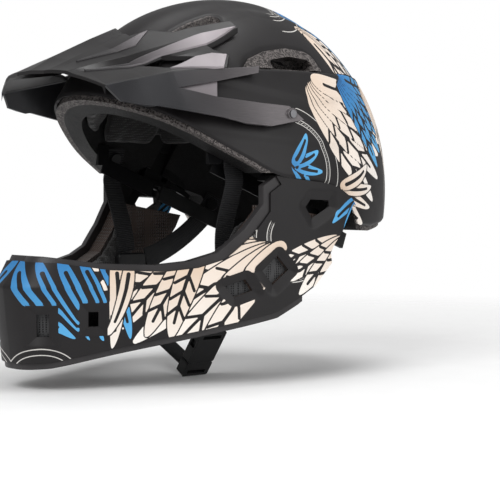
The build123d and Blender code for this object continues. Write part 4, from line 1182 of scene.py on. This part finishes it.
def strap_place(shares):
    """Place from shares of the half width and the crown radius."""
    return Vector((half_width * shares[0], crown_radius * shares[1], crown_radius * shares[2]))


def ribbon(name, node, route, leans, body="helmet", side=1):
    """Smooth flat strap through places, each with the way its width points."""
    flip = np.array([side, 1, 1])
    path = smooth_path(np.array(route), strap_steps) * flip
    across = smooth_path(np.array(leans, float), strap_steps) * flip
    heading = np.gradient(path, axis=0)
    heading /= np.linalg.norm(heading, axis=1, keepdims=True)
    across -= heading * (across * heading).sum(axis=1, keepdims=True)
    across /= np.linalg.norm(across, axis=1, keepdims=True)
    up = np.cross(heading, across)
    length = np.concatenate([[0], np.cumsum(np.linalg.norm(np.diff(path, axis=0), axis=1))])
    section = [
        (-0.5, 0.35), (-0.47, 0.5), (0.47, 0.5), (0.5, 0.35),
        (0.5, -0.35), (0.47, -0.5), (-0.47, -0.5), (-0.5, -0.35),
    ]
    rows = [path + across * web_width * u + up * web_wall * v for u, v in section]
    points = np.stack(rows, 1).reshape(-1, 3)
    around = len(section)
    faces = []
    for i in range(len(path) - 1):
        here, there = i * around, (i + 1) * around
        for j in range(around):
            k = (j + 1) % around
            faces.append((here + j, here + k, there + k, there + j))
    last = (len(path) - 1) * around
    faces.append(tuple(range(around))[::-1])
    faces.append(tuple(range(last, last + around)))
    made = new_object(name, points, faces, {"along": np.repeat(length, around)})
    made.data.set_sharp_from_angle(angle=radians(40))
    paint(made, "webbing")
    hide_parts(node)
    if body == "buckle":
        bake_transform(made)
    else:
        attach(made, body)


buckle_way = Vector((cos(radians(buckle_rise)), 0, sin(radians(buckle_rise))))
buckle_up = buckle_way.cross(Vector((0, 1, 0)))
buckle_place = strap_place(buckle_shares)
front_route = [strap_place(shares) for shares in front_strap_shares]
rear_route = [strap_place(shares) for shares in rear_strap_shares]
near_route = [strap_place(shares) for shares in near_strap_shares]
near_route.append(buckle_place + buckle_way * (buckle_length + strap_end_gap))
far_route = [strap_place(shares) for shares in far_strap_shares]
far_end = buckle_place + buckle_way * (2 * buckle_wall - buckle_grip)
far_route.append(far_end + buckle_up * strap_lift)

for side, word in ((1, "left"), (-1, "right")):
    front_leans = [level] * 4 + [front_lean]
    ribbon("front_ribbon_" + word, "front_strap_" + word, front_route, front_leans, side=side)
    ribbon("rear_ribbon_" + word, "rear_strap_" + word, rear_route, rear_leans, side=side)
ribbon("near_chin_ribbon", "chin_strap_left", near_route, [level] * 4)
ribbon("far_chin_ribbon", "chin_strap_right", far_route, [level] * 5, body="buckle")


# Studio

def softbox(name, place, aim, size, power):
    """Square area light that looks at a place."""
    light = bpy.data.lights.new(name, "AREA")
    light.size = size
    light.energy = power
    lamp = linked(name, light)
    lamp.location = place
    lamp.rotation_euler = (Vector(aim) - Vector(place)).to_track_quat("-Z", "Y").to_euler()


turn = radians(camera_turn)
camera = linked("camera", bpy.data.cameras.new("camera"))
camera.location = (
    camera_distance * sin(turn),
    camera_aim_y - camera_distance * cos(turn),
    camera_height,
)
camera.rotation_euler = (radians(90), 0, turn)
camera.data.lens = lens
camera.data.shift_x = shift_x
camera.data.shift_y = shift_y
camera.data.clip_start = 0.01
bpy.context.scene.camera = camera

floor_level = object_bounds()[0].z - floor_gap
bpy.ops.mesh.primitive_plane_add(size=floor_size, location=(0, 0, floor_level))
floor = bpy.context.object
floor.name = "floor"
floor.data.materials.append(floor_material())

world = bpy.data.worlds.new("studio")
world.use_nodes = True
background = world.node_tree.nodes["Background"]
background.inputs["Color"].default_value = (1.0, 1.0, 1.0, 1.0)
seen = add_node(world.node_tree, "ShaderNodeLightPath").outputs["Is Camera Ray"]
strength = ranged(world.node_tree, seen, 0.0, 1.0, studio_glow, 1.0)
world.node_tree.links.new(strength, background.inputs["Strength"])
bpy.context.scene.world = world
softbox("key", (0.5, -1.3, 1.1), (0, 0, 0.03), 0.9, 16)
softbox("fill", (1.3, 0.4, 0.5), (0, 0, 0.03), 1.0, 7)
softbox("top", (0.1, 0.2, 1.4), (0, 0, 0.05), 0.8, 9)
bpy.context.scene.view_settings.view_transform = "Standard"
